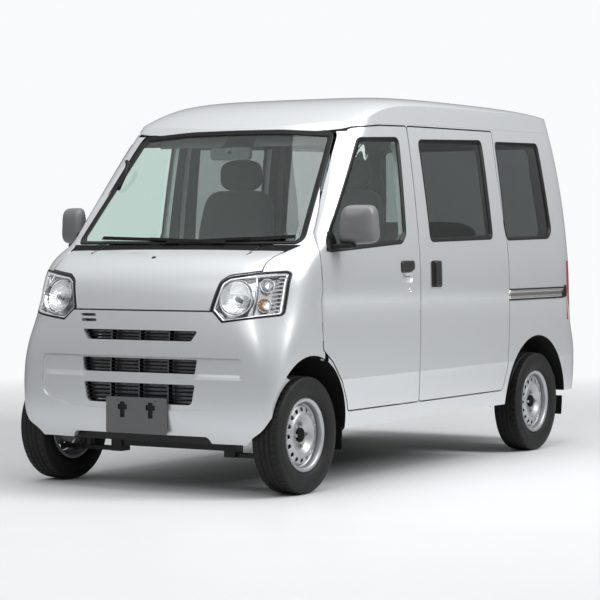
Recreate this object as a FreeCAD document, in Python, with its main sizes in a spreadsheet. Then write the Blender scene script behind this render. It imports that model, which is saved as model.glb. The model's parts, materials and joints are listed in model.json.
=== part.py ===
import FreeCAD, Part
import Sketcher
import math
import os

from FreeCAD import Placement, Rotation, Vector

# A kei-class high-roof van, in millimetres. X is the van's left, Y points to its rear, Z is up.
# The origin is on the ground, midway between the bumpers and between the sides.

SIZES = {
    "body_length": 3395.0,
    "body_width": 1475.0,
    "body_height": 1880.0,
    "wheelbase": 2450.0,
    "front_overhang": 322.5,
    "wheel_track": 1300.0,
    "tyre_radius": 268.0,
    "tyre_width": 146.0,
    "rim_radius": 170.0,
    "bead_radius": 152.0,
    "rim_width": 116.0,
    "disc_crest": 46.0,
    "hub_face": 24.0,
    "hub_bore": 28.0,
    "hub_cap_radius": 36.0,
    "nut_circle": 100.0,
    "nut_radius": 9.5,
    "vent_circle": 114.0,
    "vent_radius": 9.0,
    "vent_count": 16,
    "wall": 80.0,
    "door_wall": 45.0,
    "hood_wall": 22.0,
    "bumper_wall": 35.0,
    "lamp_depth": 54.0,
    "bulkhead_depth": 58.0,
    "roof_wall": 32.0,
    "glass_depth": 8.0,
    "glass_wall": 5.0,
    "door_gap": 7.0,
    "fixed_seam": 0.4,
    "seat_gap": 0.3,
    "sill_height": 278.0,
    "bumper_height": 236.0,
    "hood_line": 834.0,
    "cowl_height": 1106.0,
    "screen_base": 1128.0,
    "b_pillar": -318.0,
    "c_pillar": 665.0,
    "front_arch_lead": 25.0,
    "front_arch_height": 313.0,
    "front_arch_radius": 314.0,
    "rear_arch_height": 244.0,
    "rear_arch_radius": 388.0,
    "rear_arch_lead": -20.0,
    "kingpin_inset": 10.0,
    "kingpin_clearance": 281.0,
    "liner_wall": 4.0,
    "liner_inner": 438.0,
    "hinge_depth": 14.0,
    "hinge_setback": 45.0,
    "hinge_room": 61.0,
    "notch_skin": 3.0,
    "pillar_foot_room": 92.0,
    "corner_room": 20.0,
    "hinge_pin_radius": 7.0,
    "tailgate_skin": 1493.0,
    "hood_hinge_along": -1342.0,
    "hood_hinge_height": 1112.0,
    "hood_hinge_place": 440.0,
    "hood_gap": 7.0,
    "recess_depth": 9.0,
    "louvre_pitch": 17.0,
    "plate_spacing": 210.0,
    "screen_wall": 8.0,
    "pillar_strip": 18.0,
    "engine_rear": -260.0,
    "engine_cover": 690.0,
    "steering_tilt": 38.0,
    "steering_along": -985.0,
    "steering_height": 1020.0,
    "cab_floor": 470.0,
    "cargo_floor": 660.0,
    "floor_wall": 14.0,
    "tailgate_bottom": 612.0,
    "tailgate_top": 1762.0,
    "tailgate_half_width": 618.0,
    "rail_spacing": 660.0,
    "rail_height": 300.0,
    "steering_radius": 188.0,
    "steering_tube": 13.0,
    "seat_width": 480.0,
    "seat_spacing": 640.0,
}

EXPORTS = []


def make_sheet(doc):
    """The driving sizes, one cell each."""
    sheet = doc.addObject("Spreadsheet::Sheet", "Sizes")
    for row, (alias, value) in enumerate(SIZES.items(), start=1):
        sheet.set(f"A{row}", alias)
        sheet.set(f"B{row}", str(value))
        sheet.setAlias(f"B{row}", alias)
    doc.recompute()
    return sheet


def bind(obj, expressions):
    """Tie each named property to an expression on the sheet's cells."""
    for path, text in expressions.items():
        obj.setExpression(path, text)
    return obj


def place(obj, x="0", y="0", z="0"):
    """Tie an object's position to expressions on the sheet's cells."""
    return bind(obj, {"Placement.Base.x": x, "Placement.Base.y": y, "Placement.Base.z": z})


def keep(obj, name):
    """Label a finished sub-part and put it on the list that is written out."""
    obj.Label = name
    EXPORTS.append(obj)
    return obj


def feature(doc, name, shape):
    """A finished sub-part whose shape comes from the master surfaces."""
    obj = doc.addObject("Part::Feature", name)
    obj.Shape = shape
    return keep(obj, name)


# Body master surfaces

# Plan sections of the body, lowest first: height, tuck of each side, setback of the nose and of the
# tail from the overall length, front and rear corner radius, and the nose's radius of bow.
SECTIONS = (
    (232, 24, 36, 38, 82, 120, 9000),
    (275, 16, 20, 22, 90, 127, 9000),
    (340, 11, 7, 3, 96, 131, 9000),
    (470, 6, 4, 0, 98, 132, 9000),
    (590, 2, 7, 12, 115, 138, 9000),
    (690, 0, 13, 58, 160, 150, 8000),
    (790, 0, 26, 60, 220, 150, 6200),
    (890, 0, 44, 68, 248, 150, 6000),
    (975, 1, 66, 72, 246, 150, 6000),
    (1035, 3, 128, 75, 215, 150, 5500),
    (1078, 6, 208, 78, 165, 150, 4800),
    (1110, 8, 312, 80, 105, 150, 4800),
    (1140, 10, 384, 83, 82, 150, 4800),
    (1200, 15, 433, 89, 78, 146, 4800),
    (1330, 28, 544, 105, 78, 138, 4800),
    (1500, 47, 687, 137, 78, 130, 4400),
    (1700, 73, 856, 186, 85, 120, 4000),
    (1920, 118, 1040, 255, 95, 110, 4000),
)
# Roof ribs from nose to tail: place along the van, drop of the crown and of the drip line below the
# overall height.
RIBS = (
    (-1900, 640, 700),
    (-1250, 372, 420),
    (-880, 206, 240),
    (-690, 104, 190),
    (-510, 36, 180),
    (-280, 8, 166),
    (200, 0, 150),
    (900, 0, 138),
    (1300, 8, 134),
    (1560, 40, 142),
    (1900, 115, 220),
)
TAIL_BOW = 7000.0
SIDE_BOW = 10.0
SHOULDER_OVERHANG = 6.0
# Control points of a round corner, as shares of its radius from the sharp corner.
CORNER_NEAR = 0.56
CORNER_FAR = 1.25
SIDE_POLES = 4
# Where the skins are split: below and above the bend at the hood, and either side of each corner.
BODY_ROW_STOPS = (0, 7, 12, 15)
BODY_COLUMN_STOPS = (0, 2, 5, 9, 12, 14)
ROOF_ROW_STOPS = (0, 1, 4, 8)
ROOF_COLUMN_STOPS = (0, 2, 5, 7)
# Control points of half a roof rib: share of the half-width, share of the crown above the drip line.
RIB_SHAPE = ((1.0, 0.0), (1.0, 0.42), (0.93, 0.8), (0.76, 0.955), (0.48, 1.0), (0.2, 1.0), (0.0, 1.0))


def spline_skin(poles):
    """A smooth cubic surface drawn by a net of control points."""
    rows, columns = len(poles), len(poles[0])
    surface = Part.BSplineSurface()
    surface.buildFromPolesMultsKnots(
        poles,
        [4] + [1] * (rows - 4) + [4],
        [4] + [1] * (columns - 4) + [4],
        list(range(rows - 2)),
        list(range(columns - 2)),
        False,
        False,
        3,
        3,
    )
    return surface


def patches(surface, row_stops, column_stops):
    """The surface as a grid of faces, split between its flat and its tightly curved stretches."""
    faces = []
    for low, high in zip(row_stops[:-1], row_stops[1:]):
        for left, right in zip(column_stops[:-1], column_stops[1:]):
            piece = surface.copy()
            piece.segment(low, high, left, right)
            faces.append(piece.toShape())
    return faces


def plan_outline(size, section, inset):
    """The left half of a plan section, tail to nose: bowed faces, round corners, a gently bowed side."""
    height, tuck, nose, tail, nose_radius, tail_radius, nose_bow = section
    half_width = size["body_width"] / 2 - tuck - inset
    front = -size["body_length"] / 2 + nose + inset
    rear = size["body_length"] / 2 - tail - inset

    def face(at, bow, away, radius):
        flat = half_width - radius * CORNER_FAR
        points = [(0.0, at), (flat * 0.36, at)]
        points.append((flat * 0.74, at + away * (flat * 0.74) ** 2 / (2 * bow)))
        far = half_width - radius * CORNER_FAR
        near = half_width - radius * CORNER_NEAR
        points.append((far, at + away * far * far / (2 * bow)))
        points.append((near, at + away * near * near / (2 * bow)))
        corner = at + away * half_width * half_width / (2 * bow)
        points.append((half_width, corner + away * radius * CORNER_NEAR))
        points.append((half_width, corner + away * radius * CORNER_FAR))
        return points

    tail_half = face(rear, TAIL_BOW, -1, max(tail_radius - inset, 20.0))
    nose_half = face(front, nose_bow, 1, max(nose_radius - inset, 20.0))
    start, stop = tail_half[-1][1], nose_half[-1][1]
    middle = [(half_width, start + (stop - start) * i / SIDE_POLES) for i in range(1, SIDE_POLES)]
    half = tail_half + middle + nose_half[::-1]
    centre, reach = (front + rear) / 2, (rear - front) / 2
    bow = SIDE_BOW / half_width
    return [Vector(x * (1 - bow * ((y - centre) / reach) ** 2), y, height) for x, y in half]


def body_half(size, inset, bottom):
    """The left half of the body's bulk, from below the sills to above the roof."""
    poles = [plan_outline(size, section, inset) for section in SECTIONS]
    poles[0] = [Vector(p.x, p.y, bottom) for p in poles[0]]
    surface = spline_skin(poles)
    low, high, tail, nose = surface.bounds()
    skin = patches(surface, BODY_ROW_STOPS, BODY_COLUMN_STOPS)
    ends = []
    for at in (low, high):
        back, front = surface.value(at, tail), surface.value(at, nose)
        run = iso_edges(surface, at, BODY_COLUMN_STOPS, along_row=True)
        ends.append(Part.Face(Part.Wire(Part.__sortEdges__(run + [Part.makeLine(front, back)]))))
    edges = iso_edges(surface, tail, BODY_ROW_STOPS, along_row=False)
    edges += iso_edges(surface, nose, BODY_ROW_STOPS, along_row=False)
    for at in (low, high):
        edges.append(Part.makeLine(surface.value(at, tail), surface.value(at, nose)))
    ends.append(Part.Face(Part.Wire(Part.__sortEdges__(edges))))
    return closed_solid(skin + ends)


def iso_edges(surface, at, stops, along_row):
    """A line of constant parameter on the surface, as one edge per patch."""
    edges = []
    for low, high in zip(stops[:-1], stops[1:]):
        curve = surface.uIso(at) if along_row else surface.vIso(at)
        curve.segment(low, high)
        edges.append(curve.toShape())
    return edges


def closed_solid(faces):
    """The solid inside faces that meet edge to edge."""
    shell = Part.makeShell(faces)
    shell.sewShape()
    return Part.Solid(shell)


def roof_half(size, drop):
    """Everything under the left half of the crowned roof, wider than the body below the drip line."""
    reach = size["body_width"] / 2 - 73.0 + SHOULDER_OVERHANG
    poles = []
    for along, crown_drop, drip_drop in RIBS:
        crown = size["body_height"] - crown_drop - drop
        drip = size["body_height"] - drip_drop - drop
        rib = [(reach + 150, 150.0), (reach + 150, drip - 420), (reach + 50, drip - 140)]
        rib += [(reach * out, drip + (crown - drip) * up) for out, up in RIB_SHAPE]
        poles.append([Vector(x, along, z) for x, z in rib])
    surface = spline_skin(poles)
    front, rear, edge, middle = surface.bounds()
    faces = patches(surface, ROOF_ROW_STOPS, ROOF_COLUMN_STOPS)
    lows = []
    for at in (front, rear):
        foot, crown = surface.value(at, edge), surface.value(at, middle)
        low = Vector(0, foot.y, foot.z)
        lows.append((foot, low))
        sides = iso_edges(surface, at, ROOF_COLUMN_STOPS, along_row=True)
        sides += [Part.makeLine(crown, low), Part.makeLine(low, foot)]
        faces.append(Part.Face(Part.Wire(Part.__sortEdges__(sides))))
    (foot_a, low_a), (foot_b, low_b) = lows
    feet = iso_edges(surface, edge, ROOF_ROW_STOPS, along_row=False)
    sides = feet + [Part.makeLine(foot_b, low_b), Part.makeLine(low_b, low_a), Part.makeLine(low_a, foot_a)]
    faces.append(Part.Face(Part.Wire(Part.__sortEdges__(sides))))
    sides = iso_edges(surface, middle, ROOF_ROW_STOPS, along_row=False)
    crown_a, crown_b = surface.value(front, middle), surface.value(rear, middle)
    sides += [Part.makeLine(crown_b, low_b), Part.makeLine(low_b, low_a), Part.makeLine(low_a, crown_a)]
    faces.append(Part.Face(Part.Wire(Part.__sortEdges__(sides))))
    return closed_solid(faces)


class Master:
    """The left half of the body's outside and its copies set further in, each made once."""

    def __init__(self, size):
        self.size = size
        self.layers = {}
        self.shells = {}

    def layer(self, inset):
        """The solid inside the outer skin moved in by the inset."""
        if inset not in self.layers:
            bottom = SECTIONS[0][0] if inset == 0 else SECTIONS[0][0] - 100.0
            drop = min(inset, self.size["roof_wall"])
            half = body_half(self.size, inset, bottom)
            self.layers[inset] = half.common(roof_half(self.size, drop))
        return self.layers[inset]

    def shell(self, outer, inner):
        """The wall between two depths."""
        if (outer, inner) not in self.shells:
            self.shells[outer, inner] = self.layer(outer).cut(self.layer(inner))
        return self.shells[outer, inner]


# Outlines and prisms

def outline(points):
    """A closed flat outline of straight runs; a point's third value rounds its corner."""
    edges = []
    ends = []
    count = len(points)
    for i, point in enumerate(points):
        corner = Vector(point[0], point[1], 0)
        radius = point[2] if len(point) > 2 else 0.0
        before = (Vector(points[i - 1][0], points[i - 1][1], 0) - corner).normalize()
        after_point = points[(i + 1) % count]
        after = (Vector(after_point[0], after_point[1], 0) - corner).normalize()
        angle = before.getAngle(after)
        if radius <= 0.0 or angle > math.pi - 1e-4:
            ends.append((corner, corner))
            continue
        reach = radius / math.tan(angle / 2)
        middle = (before + after).normalize() * (radius / math.sin(angle / 2) - radius)
        start, stop = corner + before * reach, corner + after * reach
        edges.append(Part.Arc(start, corner + middle, stop).toShape())
        ends.append((start, stop))
    for i in range(count):
        start, stop = ends[i][1], ends[(i + 1) % count][0]
        if start.distanceToPoint(stop) > 1e-6:
            edges.append(Part.makeLine(start, stop))
    return Part.Wire(Part.__sortEdges__(edges))


def flat_face(points, grow=0.0):
    """The face inside an outline, grown or shrunk by a margin."""
    face = Part.Face(outline(points))
    if grow:
        face = face.makeOffset2D(grow, join=0, fill=False, openResult=False, intersection=False)
    return face


def side_prism(points, x_from, x_to, grow=0.0):
    """A prism across the van from an outline of (along, up) points."""
    face = flat_face(points, grow)
    turn = Placement(Vector(x_from, 0, 0), Rotation(Vector(1, 1, 1), 120))
    face.Placement = turn.multiply(face.Placement)
    return face.extrude(Vector(x_to - x_from, 0, 0))


def front_prism(points, y_from, y_to, grow=0.0):
    """A prism along the van from an outline of (across, up) points."""
    face = flat_face(points, grow)
    turn = Placement(Vector(0, y_from, 0), Rotation(Vector(1, 0, 0), 90))
    face.Placement = turn.multiply(face.Placement)
    return face.extrude(Vector(0, y_to - y_from, 0))


def block(x0, x1, y0, y1, z0, z1):
    """A box between two corners."""
    return Part.makeBox(x1 - x0, y1 - y0, z1 - z0, Vector(x0, y0, z0))


def rod(start, stop, radius):
    """A round bar between two points."""
    start, stop = Vector(*start), Vector(*stop)
    return Part.makeCylinder(radius, start.distanceToPoint(stop), start, stop - start)


def mirrored(shape):
    """The same shape on the other side of the van."""
    return shape.mirror(Vector(0, 0, 0), Vector(1, 0, 0))


def whole(half):
    """A piece that crosses the middle line, from its left half."""
    return largest(half.fuse(mirrored(half)))


def cut_all(shape, tools):
    """A shape less each of the tools, one after another."""
    for tool in tools:
        shape = shape.cut(tool)
    return shape


def largest(shape):
    """The main solid of a result, without slivers."""
    return max(shape.Solids, key=lambda solid: solid.Volume)


# Panel outlines, (along, up) seen from the side, unless they say (across, up)

def front_axle(size):
    return -size["body_length"] / 2 + size["front_overhang"]


def rear_axle(size):
    return front_axle(size) + size["wheelbase"]


def front_door_outline(size):
    rear = size["b_pillar"] - size["door_gap"] / 2
    return [
        (-836, 1664, 12),
        (-1222, 1179, 60),
        (-1266, 1104, 40),
        (-1256, 915, 25),
        (-1268, 885, 25),
        (-1250, 650, 22),
        (-1163, 592, 60),
        (-1074, 496, 70),
        (-1028, 408, 60),
        (-1014, 358, 14),
        (rear, 358, 12),
        (rear, 1100),
        (rear - 4, 1708, 14),
        (-600, 1700, 300),
        (-790, 1684, 20),
    ]


def sliding_door_outline(size):
    front = size["b_pillar"] + size["door_gap"] / 2
    rear = size["c_pillar"]
    return [
        (front, 358, 12),
        (rear - 40, 358, 40),
        (rear + 17, 480, 60),
        (rear + 24, 700, 200),
        (rear + 23, 900, 200),
        (rear + 14, 1138, 60),
        (rear - 8, 1210, 60),
        (rear - 42, 1500, 200),
        (rear - 40, 1722, 14),
        (front, 1708, 14),
    ]


def front_window_outline():
    return [
        (-800, 1634, 40),
        (-420, 1650, 28),
        (-444, 1178, 30),
        (-490, 1134, 26),
        (-1190, 1094, 20),
        (-1206, 1140, 20),
    ]


def sliding_window_outline():
    return [(-222, 1646, 30), (485, 1670, 26), (510, 1156, 28), (-194, 1142, 28)]


def quarter_window_outline():
    return [
        (648, 1668, 22),
        (1192, 1680, 30),
        (1262, 1196, 50),
        (1212, 1160, 60),
        (688, 1150, 20),
        (664, 1210, 40),
    ]


def lamp_outline():
    """Across and up: the left headlamp's lens."""
    return [
        (376, 836, 6),
        (439, 779, 10),
        (692, 812, 18),
        (690, 1014, 22),
        (582, 1007, 400),
        (446, 988, 30),
        (410, 964, 30),
    ]


def lamp_prism(grow=0.0):
    """The left headlamp's room, which ends before the fender's side."""
    return front_prism(lamp_outline(), -1800, -1440 + max(grow, 0.0), grow)


# Half outlines of what lies on the middle line start a little beyond it.
MIDDLE = -20.0


def hood_outline(size):
    """Across and up: the hood's left half, running in under the lamp's corner."""
    line, back = size["hood_line"], size["cowl_height"]
    corner = [(500, line), (500, 998), (582, 1004), (574, 1052, 60), (606, back + 14)]
    return [(MIDDLE, line), *corner, (MIDDLE, back + 14)]


def cowl_outline(size):
    """Across and up: the left half of the black strip between hood and windscreen."""
    low, high = size["cowl_height"] - 30, size["screen_base"]
    return [(MIDDLE, low), (592, low), (642, high), (MIDDLE, high)]


def screen_outline(size):
    """Across and up: the left half of the windscreen's aperture."""
    base = size["screen_base"]
    return [(MIDDLE, base), (640, base + 2, 34), (546, 1662, 40), (260, 1680, 900), (MIDDLE, 1682)]


def tailgate_outline(size):
    """Across and up: the tailgate's left half."""
    half, low, high = size["tailgate_half_width"], size["tailgate_bottom"], size["tailgate_top"]
    return [(MIDDLE, low), (half, low, 30), (half + 6, 1140, 200), (half - 60, high, 60), (MIDDLE, high)]


def tailgate_window_outline(size):
    """Across and up: the left half of the rear window."""
    high = size["tailgate_top"] - 75
    return [(MIDDLE, 1150), (535, 1150, 45), (478, high, 50), (MIDDLE, high)]


def tail_lamp_outline():
    """Across and up: the left tail lamp."""
    return [(632, 706, 12), (632, 1034, 12), (760, 1034, 12), (760, 706, 12)]


def tail_lamp_room(size, master):
    """The pocket round the left tail lamp."""
    room = front_prism(tail_lamp_outline(), 1380, 1900, size["fixed_seam"])
    return room.cut(master.layer(size["lamp_depth"]))


def drip_outline():
    """Everything above the drip line."""
    return [
        (-1100, 1690),
        (-838, 1672),
        (-790, 1694),
        (-586, 1713, 500),
        (-20, 1727, 2000),
        (619, 1736, 3000),
        (1345, 1747),
        (1800, 1700),
        (1800, 2100),
        (-1100, 2100),
    ]


def bumper_outline(size):
    """The front bumper's reach, up to the hood line and back to the fender seam."""
    line = size["hood_line"]
    rear_edge = [(-1544, line), (-1540, 809), (-1518, 718), (-1495, 652), (-1476, 560), (-1476, 150)]
    return [(-1800, 150), (-1800, line), *rear_edge]


def rear_bumper_outline():
    return [(1503, 604), (1900, 604), (1900, 150), (1395, 150), (1395, 308), (1412, 400), (1456, 600)]


def bumper_recess_outline():
    """Across and up: the left half of the shallow field round the two lower slots."""
    return [(MIDDLE, 622), (552, 622, 20), (562, 432, 62), (380, 388, 60), (230, 380), (MIDDLE, 380)]


def grille_slots():
    """Across and up: the left halves of the three air slots."""
    return [
        [(MIDDLE, 741), (320, 741, 6), (288, 694, 16), (MIDDLE, 694)],
        [(MIDDLE, 612), (319, 612, 6), (308, 547, 10), (MIDDLE, 547)],
        [(MIDDLE, 498), (308, 498, 8), (290, 406, 26), (MIDDLE, 406)],
    ]


def small_vents():
    """Across and up: the pair of small vents, on the van's right only."""
    return [
        [(-340, 813, 3), (-254, 813, 3), (-250, 800, 3), (-336, 800, 3)],
        [(-334, 789, 3), (-248, 789, 3), (-244, 776, 3), (-330, 776, 3)],
    ]


# Hinge lines and the room that moving pieces need

DOOR_HINGE_HEIGHTS = (742.0, 1000.0)
TAILGATE_HINGE_PLACES = (400.0,)
HINGE_HALF = 30.0
PIN_BITE = 18.0
ARM_HALF = 10.0


def door_hinge_axis(size):
    """Across and along: the left front door's hinge line."""
    across = size["body_width"] / 2 - 5 - size["hinge_depth"]
    return across, -1268 + size["hinge_setback"]


def tailgate_axis(size):
    """Along and up: the tailgate's hinge line."""
    return size["tailgate_skin"] - size["hinge_depth"], size["tailgate_top"] - size["hinge_setback"]


def hood_axis(size):
    """Along and up: the hood's hinge line, under the strip below the windscreen."""
    return size["hood_hinge_along"], size["hood_hinge_height"]


def barrel(size, reach, end_reach):
    """A barrel round the hood's hinge line, wide as the hood, thinner at its ends."""
    along, up = hood_axis(size)
    half = 640.0
    left, right = Vector(-half, along, up + end_reach), Vector(half, along, up + end_reach)
    top = Vector(0, along, up + reach)
    foot_left, foot_right = Vector(-half, along, up), Vector(half, along, up)
    edges = [Part.Arc(left, top, right).toShape(), Part.makeLine(right, foot_right)]
    edges += [Part.makeLine(foot_right, foot_left), Part.makeLine(foot_left, left)]
    return Part.Face(Part.Wire(edges)).revolve(foot_left, Vector(1, 0, 0), 360)


def arch_prism(size, which, x_from, x_to, grow=0.0):
    """The wheel opening, a round arch with straight sides below its centre."""
    if which == "front":
        centre = front_axle(size) + size["front_arch_lead"]
        height, radius = size["front_arch_height"], size["front_arch_radius"] + grow
    else:
        centre = rear_axle(size) + size["rear_arch_lead"]
        height, radius = size["rear_arch_height"], size["rear_arch_radius"] + grow
    drum = Part.makeCylinder(radius, x_to - x_from, Vector(x_from, centre, height), Vector(1, 0, 0))
    return drum.fuse(block(x_from, x_to, centre - radius, centre + radius, 100, height))


def steer_ball(size):
    """The space that the steered tyre sweeps, on the left: a ball round the kingpin at hub height."""
    x = size["wheel_track"] / 2 - size["kingpin_inset"]
    return Part.makeSphere(size["kingpin_clearance"], Vector(x, front_axle(size), size["tyre_radius"]))


def door_swing(size):
    """The room for the left door's hinge side: wide at the pillar's foot, small at the low corner."""
    x, y = door_hinge_axis(size)
    drum = Part.makeCylinder(size["hinge_room"], 590, Vector(x, y, 606))
    drum = drum.fuse(Part.makeCylinder(size["pillar_foot_room"], 121, Vector(x, y, 1075)))
    drum = drum.common(side_prism(front_door_outline(size), 300, 900, size["door_gap"]))
    return drum.fuse(Part.makeCylinder(size["corner_room"], 48, Vector(x, y, 596)))


def tailgate_swing(size):
    """The room for the tailgate's top edge inside the roof's rear rail."""
    y, z = tailgate_axis(size)
    drum = rod((MIDDLE, y, z), (640, y, z), size["hinge_room"])
    return drum.common(front_prism(tailgate_outline(size), 1200, 1900, size["door_gap"]))


def door_hinges(size):
    """The left door's hinge arms with their pins, standing on the pillar."""
    x, y = door_hinge_axis(size)
    arms = []
    for z in DOOR_HINGE_HEIGHTS:
        foot = Vector(x, y, z - HINGE_HALF - PIN_BITE)
        pin = Part.makeCylinder(size["hinge_pin_radius"], 2 * (HINGE_HALF + PIN_BITE), foot)
        arm = block(x - 56, x + 3, y - ARM_HALF, y + ARM_HALF - 4, z - 22, z + 22)
        arms.append(pin.fuse(arm))
    return arms


def door_notches(size):
    """What the left door leaves out round its hinge arms and pins."""
    x, y = door_hinge_axis(size)
    tools = []
    for z in DOOR_HINGE_HEIGHTS:
        tools.append(block(x - 80, x + 30, y - 60, y + 36, z - HINGE_HALF, z + HINGE_HALF))
        length = 2 * (HINGE_HALF + PIN_BITE + 1)
        bore = size["hinge_pin_radius"] + size["seat_gap"]
        tools.append(Part.makeCylinder(bore, length, Vector(x, y, z - length / 2)))
    return tools


def front_zone(size):
    """The left half of all that lies forward of the fenders: bumper, lamp, hood and cowl."""
    return [
        side_prism(bumper_outline(size), MIDDLE, 900),
        lamp_prism(size["fixed_seam"]),
        front_prism(hood_outline(size), -1800, -1200, size["door_gap"]),
        front_prism(cowl_outline(size), -1800, -1200),
    ]


# Body panels, each made on the left half

def body_side(size, master):
    """The left side of the body: fender, pillars, sill and rear quarter in one panel."""
    wall = master.shell(0, size["wall"])
    door, slider = front_door_outline(size), sliding_door_outline(size)
    door_pocket = side_prism(door, 300, 900, size["door_gap"])
    slide_pocket = side_prism(slider, 300, 900, size["door_gap"])
    tools = [
        front_prism(screen_outline(size), -1800, -600, size["fixed_seam"]),
        side_prism(drip_outline(), MIDDLE, 900, size["fixed_seam"]),
        block(MIDDLE, 500, -1800, -600, 0, 2100),
        block(MIDDLE, 600, 1200, 1800, 0, 2100),
        block(MIDDLE, 900, -1800, 1800, 0, size["sill_height"]),
        side_prism(rear_bumper_outline(), MIDDLE, 900, size["fixed_seam"]),
        front_prism(tailgate_outline(size), 1200, 1900, size["door_gap"]),
        arch_prism(size, "front", 300, 900),
        arch_prism(size, "rear", 300, 900),
        side_prism(door, 300, 900, -38),
        side_prism(slider, 300, 900, -42),
        side_prism(quarter_window_outline(), 300, 900),
        door_pocket.cut(master.layer(size["door_wall"] + size["door_gap"])),
        slide_pocket.cut(master.layer(size["door_wall"] + size["seat_gap"])),
        tail_lamp_room(size, master),
        door_swing(size),
    ]
    wall = cut_all(wall, front_zone(size) + tools)
    arms = [arm.common(master.layer(2.0)) for arm in door_hinges(size)]
    return largest(wall.fuse(arms))


def roof_half_panel(size, master):
    """The left half of the roof with its rear rail and the tailgate's hinge arm."""
    roof = master.shell(0, size["wall"]).common(side_prism(drip_outline(), MIDDLE, 900))
    tools = [
        front_prism(screen_outline(size), -1800, -600, size["fixed_seam"]),
        front_prism(tailgate_outline(size), 1200, 1900, size["door_gap"]),
        tailgate_swing(size),
    ]
    roof = cut_all(roof, tools)
    y, z = tailgate_axis(size)
    arms = []
    for x in TAILGATE_HINGE_PLACES:
        reach = HINGE_HALF + PIN_BITE
        pin = rod((x - reach, y, z), (x + reach, y, z), size["hinge_pin_radius"])
        arm = block(x - 22, x + 22, y - 84, y + 5, z - 4, z + ARM_HALF)
        riser = block(x - 22, x + 22, y - 84, y - 62, z - 4, z + 80)
        arms.append(pin.fuse([arm, riser]).common(master.layer(2.0)))
    return roof.fuse(arms)


def bulkhead_half(size, master):
    """The left half of the inner wall behind bumper, lamps and hood."""
    zone = front_zone(size)
    wall = master.shell(size["bulkhead_depth"], size["wall"]).common(zone[0].fuse(zone[1:]))
    along, up = hood_axis(size)
    tools = [
        arch_prism(size, "front", size["liner_inner"] - size["liner_wall"], 900, size["liner_wall"]),
        steer_ball(size),
        block(MIDDLE, 900, -1800, -1000, 0, 330),
        rod((MIDDLE, along, up), (700, along, up), 68),
        block(MIDDLE, 900, along, -1000, 0, 2000),
    ]
    return cut_all(wall, tools)


def make_body_panels(doc, size, master):
    side = body_side(size, master)
    feature(doc, "body_side_left", side)
    feature(doc, "body_side_right", mirrored(side))
    feature(doc, "roof_panel", whole(roof_half_panel(size, master)))
    feature(doc, "front_bulkhead", whole(bulkhead_half(size, master)))


def make_doors(doc, size, master):
    wall = master.shell(0, size["door_wall"])
    door = wall.common(side_prism(front_door_outline(size), 300, 900))
    behind_screen = front_prism(screen_outline(size), -1800, -600, size["pillar_strip"])
    notches = [notch.common(master.layer(size["notch_skin"])) for notch in door_notches(size)]
    under_roof = block(300, 604, -900, -640, 1668, 1800)
    door = cut_all(door, [side_prism(front_window_outline(), 300, 900), behind_screen, under_roof] + notches)
    door = largest(door)
    feature(doc, "front_door_left", door)
    feature(doc, "front_door_right", mirrored(door))
    slider = wall.common(side_prism(sliding_door_outline(size), 300, 900))
    slider = largest(slider.cut(side_prism(sliding_window_outline(), 300, 900)))
    feature(doc, "sliding_door_left", slider)
    feature(doc, "sliding_door_right", mirrored(slider))


def make_glass(doc, size, master):
    pane = master.shell(size["glass_depth"], size["glass_depth"] + size["glass_wall"])
    shrink = -size["seat_gap"]
    door_glass = pane.common(side_prism(front_window_outline(), 300, 900, shrink)).Solids[0]
    feature(doc, "door_glass_left", door_glass)
    feature(doc, "door_glass_right", mirrored(door_glass))
    slide = pane.common(side_prism(sliding_window_outline(), 300, 900, shrink))
    quarter = pane.common(side_prism(quarter_window_outline(), 300, 900, shrink))
    left = slide.Solids + quarter.Solids
    feature(doc, "side_glass", Part.makeCompound(left + [mirrored(s) for s in left]))
    screen = master.shell(4, 4 + size["screen_wall"]).common(front_prism(screen_outline(size), -1800, -600))
    feature(doc, "windscreen", whole(screen))
    rear = pane.common(front_prism(tailgate_window_outline(size), 1200, 1900, shrink))
    feature(doc, "tailgate_glass", whole(rear))


def hood_half(size, master):
    hood = master.shell(0, size["hood_wall"]).common(front_prism(hood_outline(size), -1800, -1200))
    along, up = hood_axis(size)
    tools = [
        lamp_prism(size["door_gap"]),
        barrel(size, 60, 38),
        block(MIDDLE, 900, along, -1000, 0, 2000),
    ]
    hood = cut_all(hood, tools)
    x = size["hood_hinge_place"]
    line = [(along + 10, up - 10, 9), (along + 10, up + 10, 9), (-1420, 1106), (-1440, 1072)]
    bore = rod((x - 20, along, up), (x + 20, along, up), 5 + size["seat_gap"])
    ear = side_prism(line, x - 5, x + 5).common(master.layer(4)).cut(bore)
    return hood.fuse(ear)


def cowl_half(size, master):
    """The left half of the cowl strip, notched for the hood's ear, with the lugs that hold its pin."""
    seam = size["fixed_seam"]
    cowl = master.shell(6, 18).common(front_prism(cowl_outline(size), -1800, -1200, -seam))
    along, up = hood_axis(size)
    x = size["hood_hinge_place"]
    inner = barrel(size, 60 - size["hood_gap"], 38 - size["hood_gap"])
    front = block(MIDDLE, 900, -1800, along, 0, 2000).cut(inner)
    cowl = cowl.cut(front).cut(block(x - 11, x + 11, -1500, along + 22, 1000, 1200))
    lugs = []
    for near, far in ((x - 26, x - 11), (x + 11, x + 26)):
        lugs.append(block(near, far, along - 10, along + 12, up - 10, up + 60).common(master.layer(8)))
    lugs.append(rod((x - 26, along, up), (x + 26, along, up), 5))
    return cowl.fuse(lugs)


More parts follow.
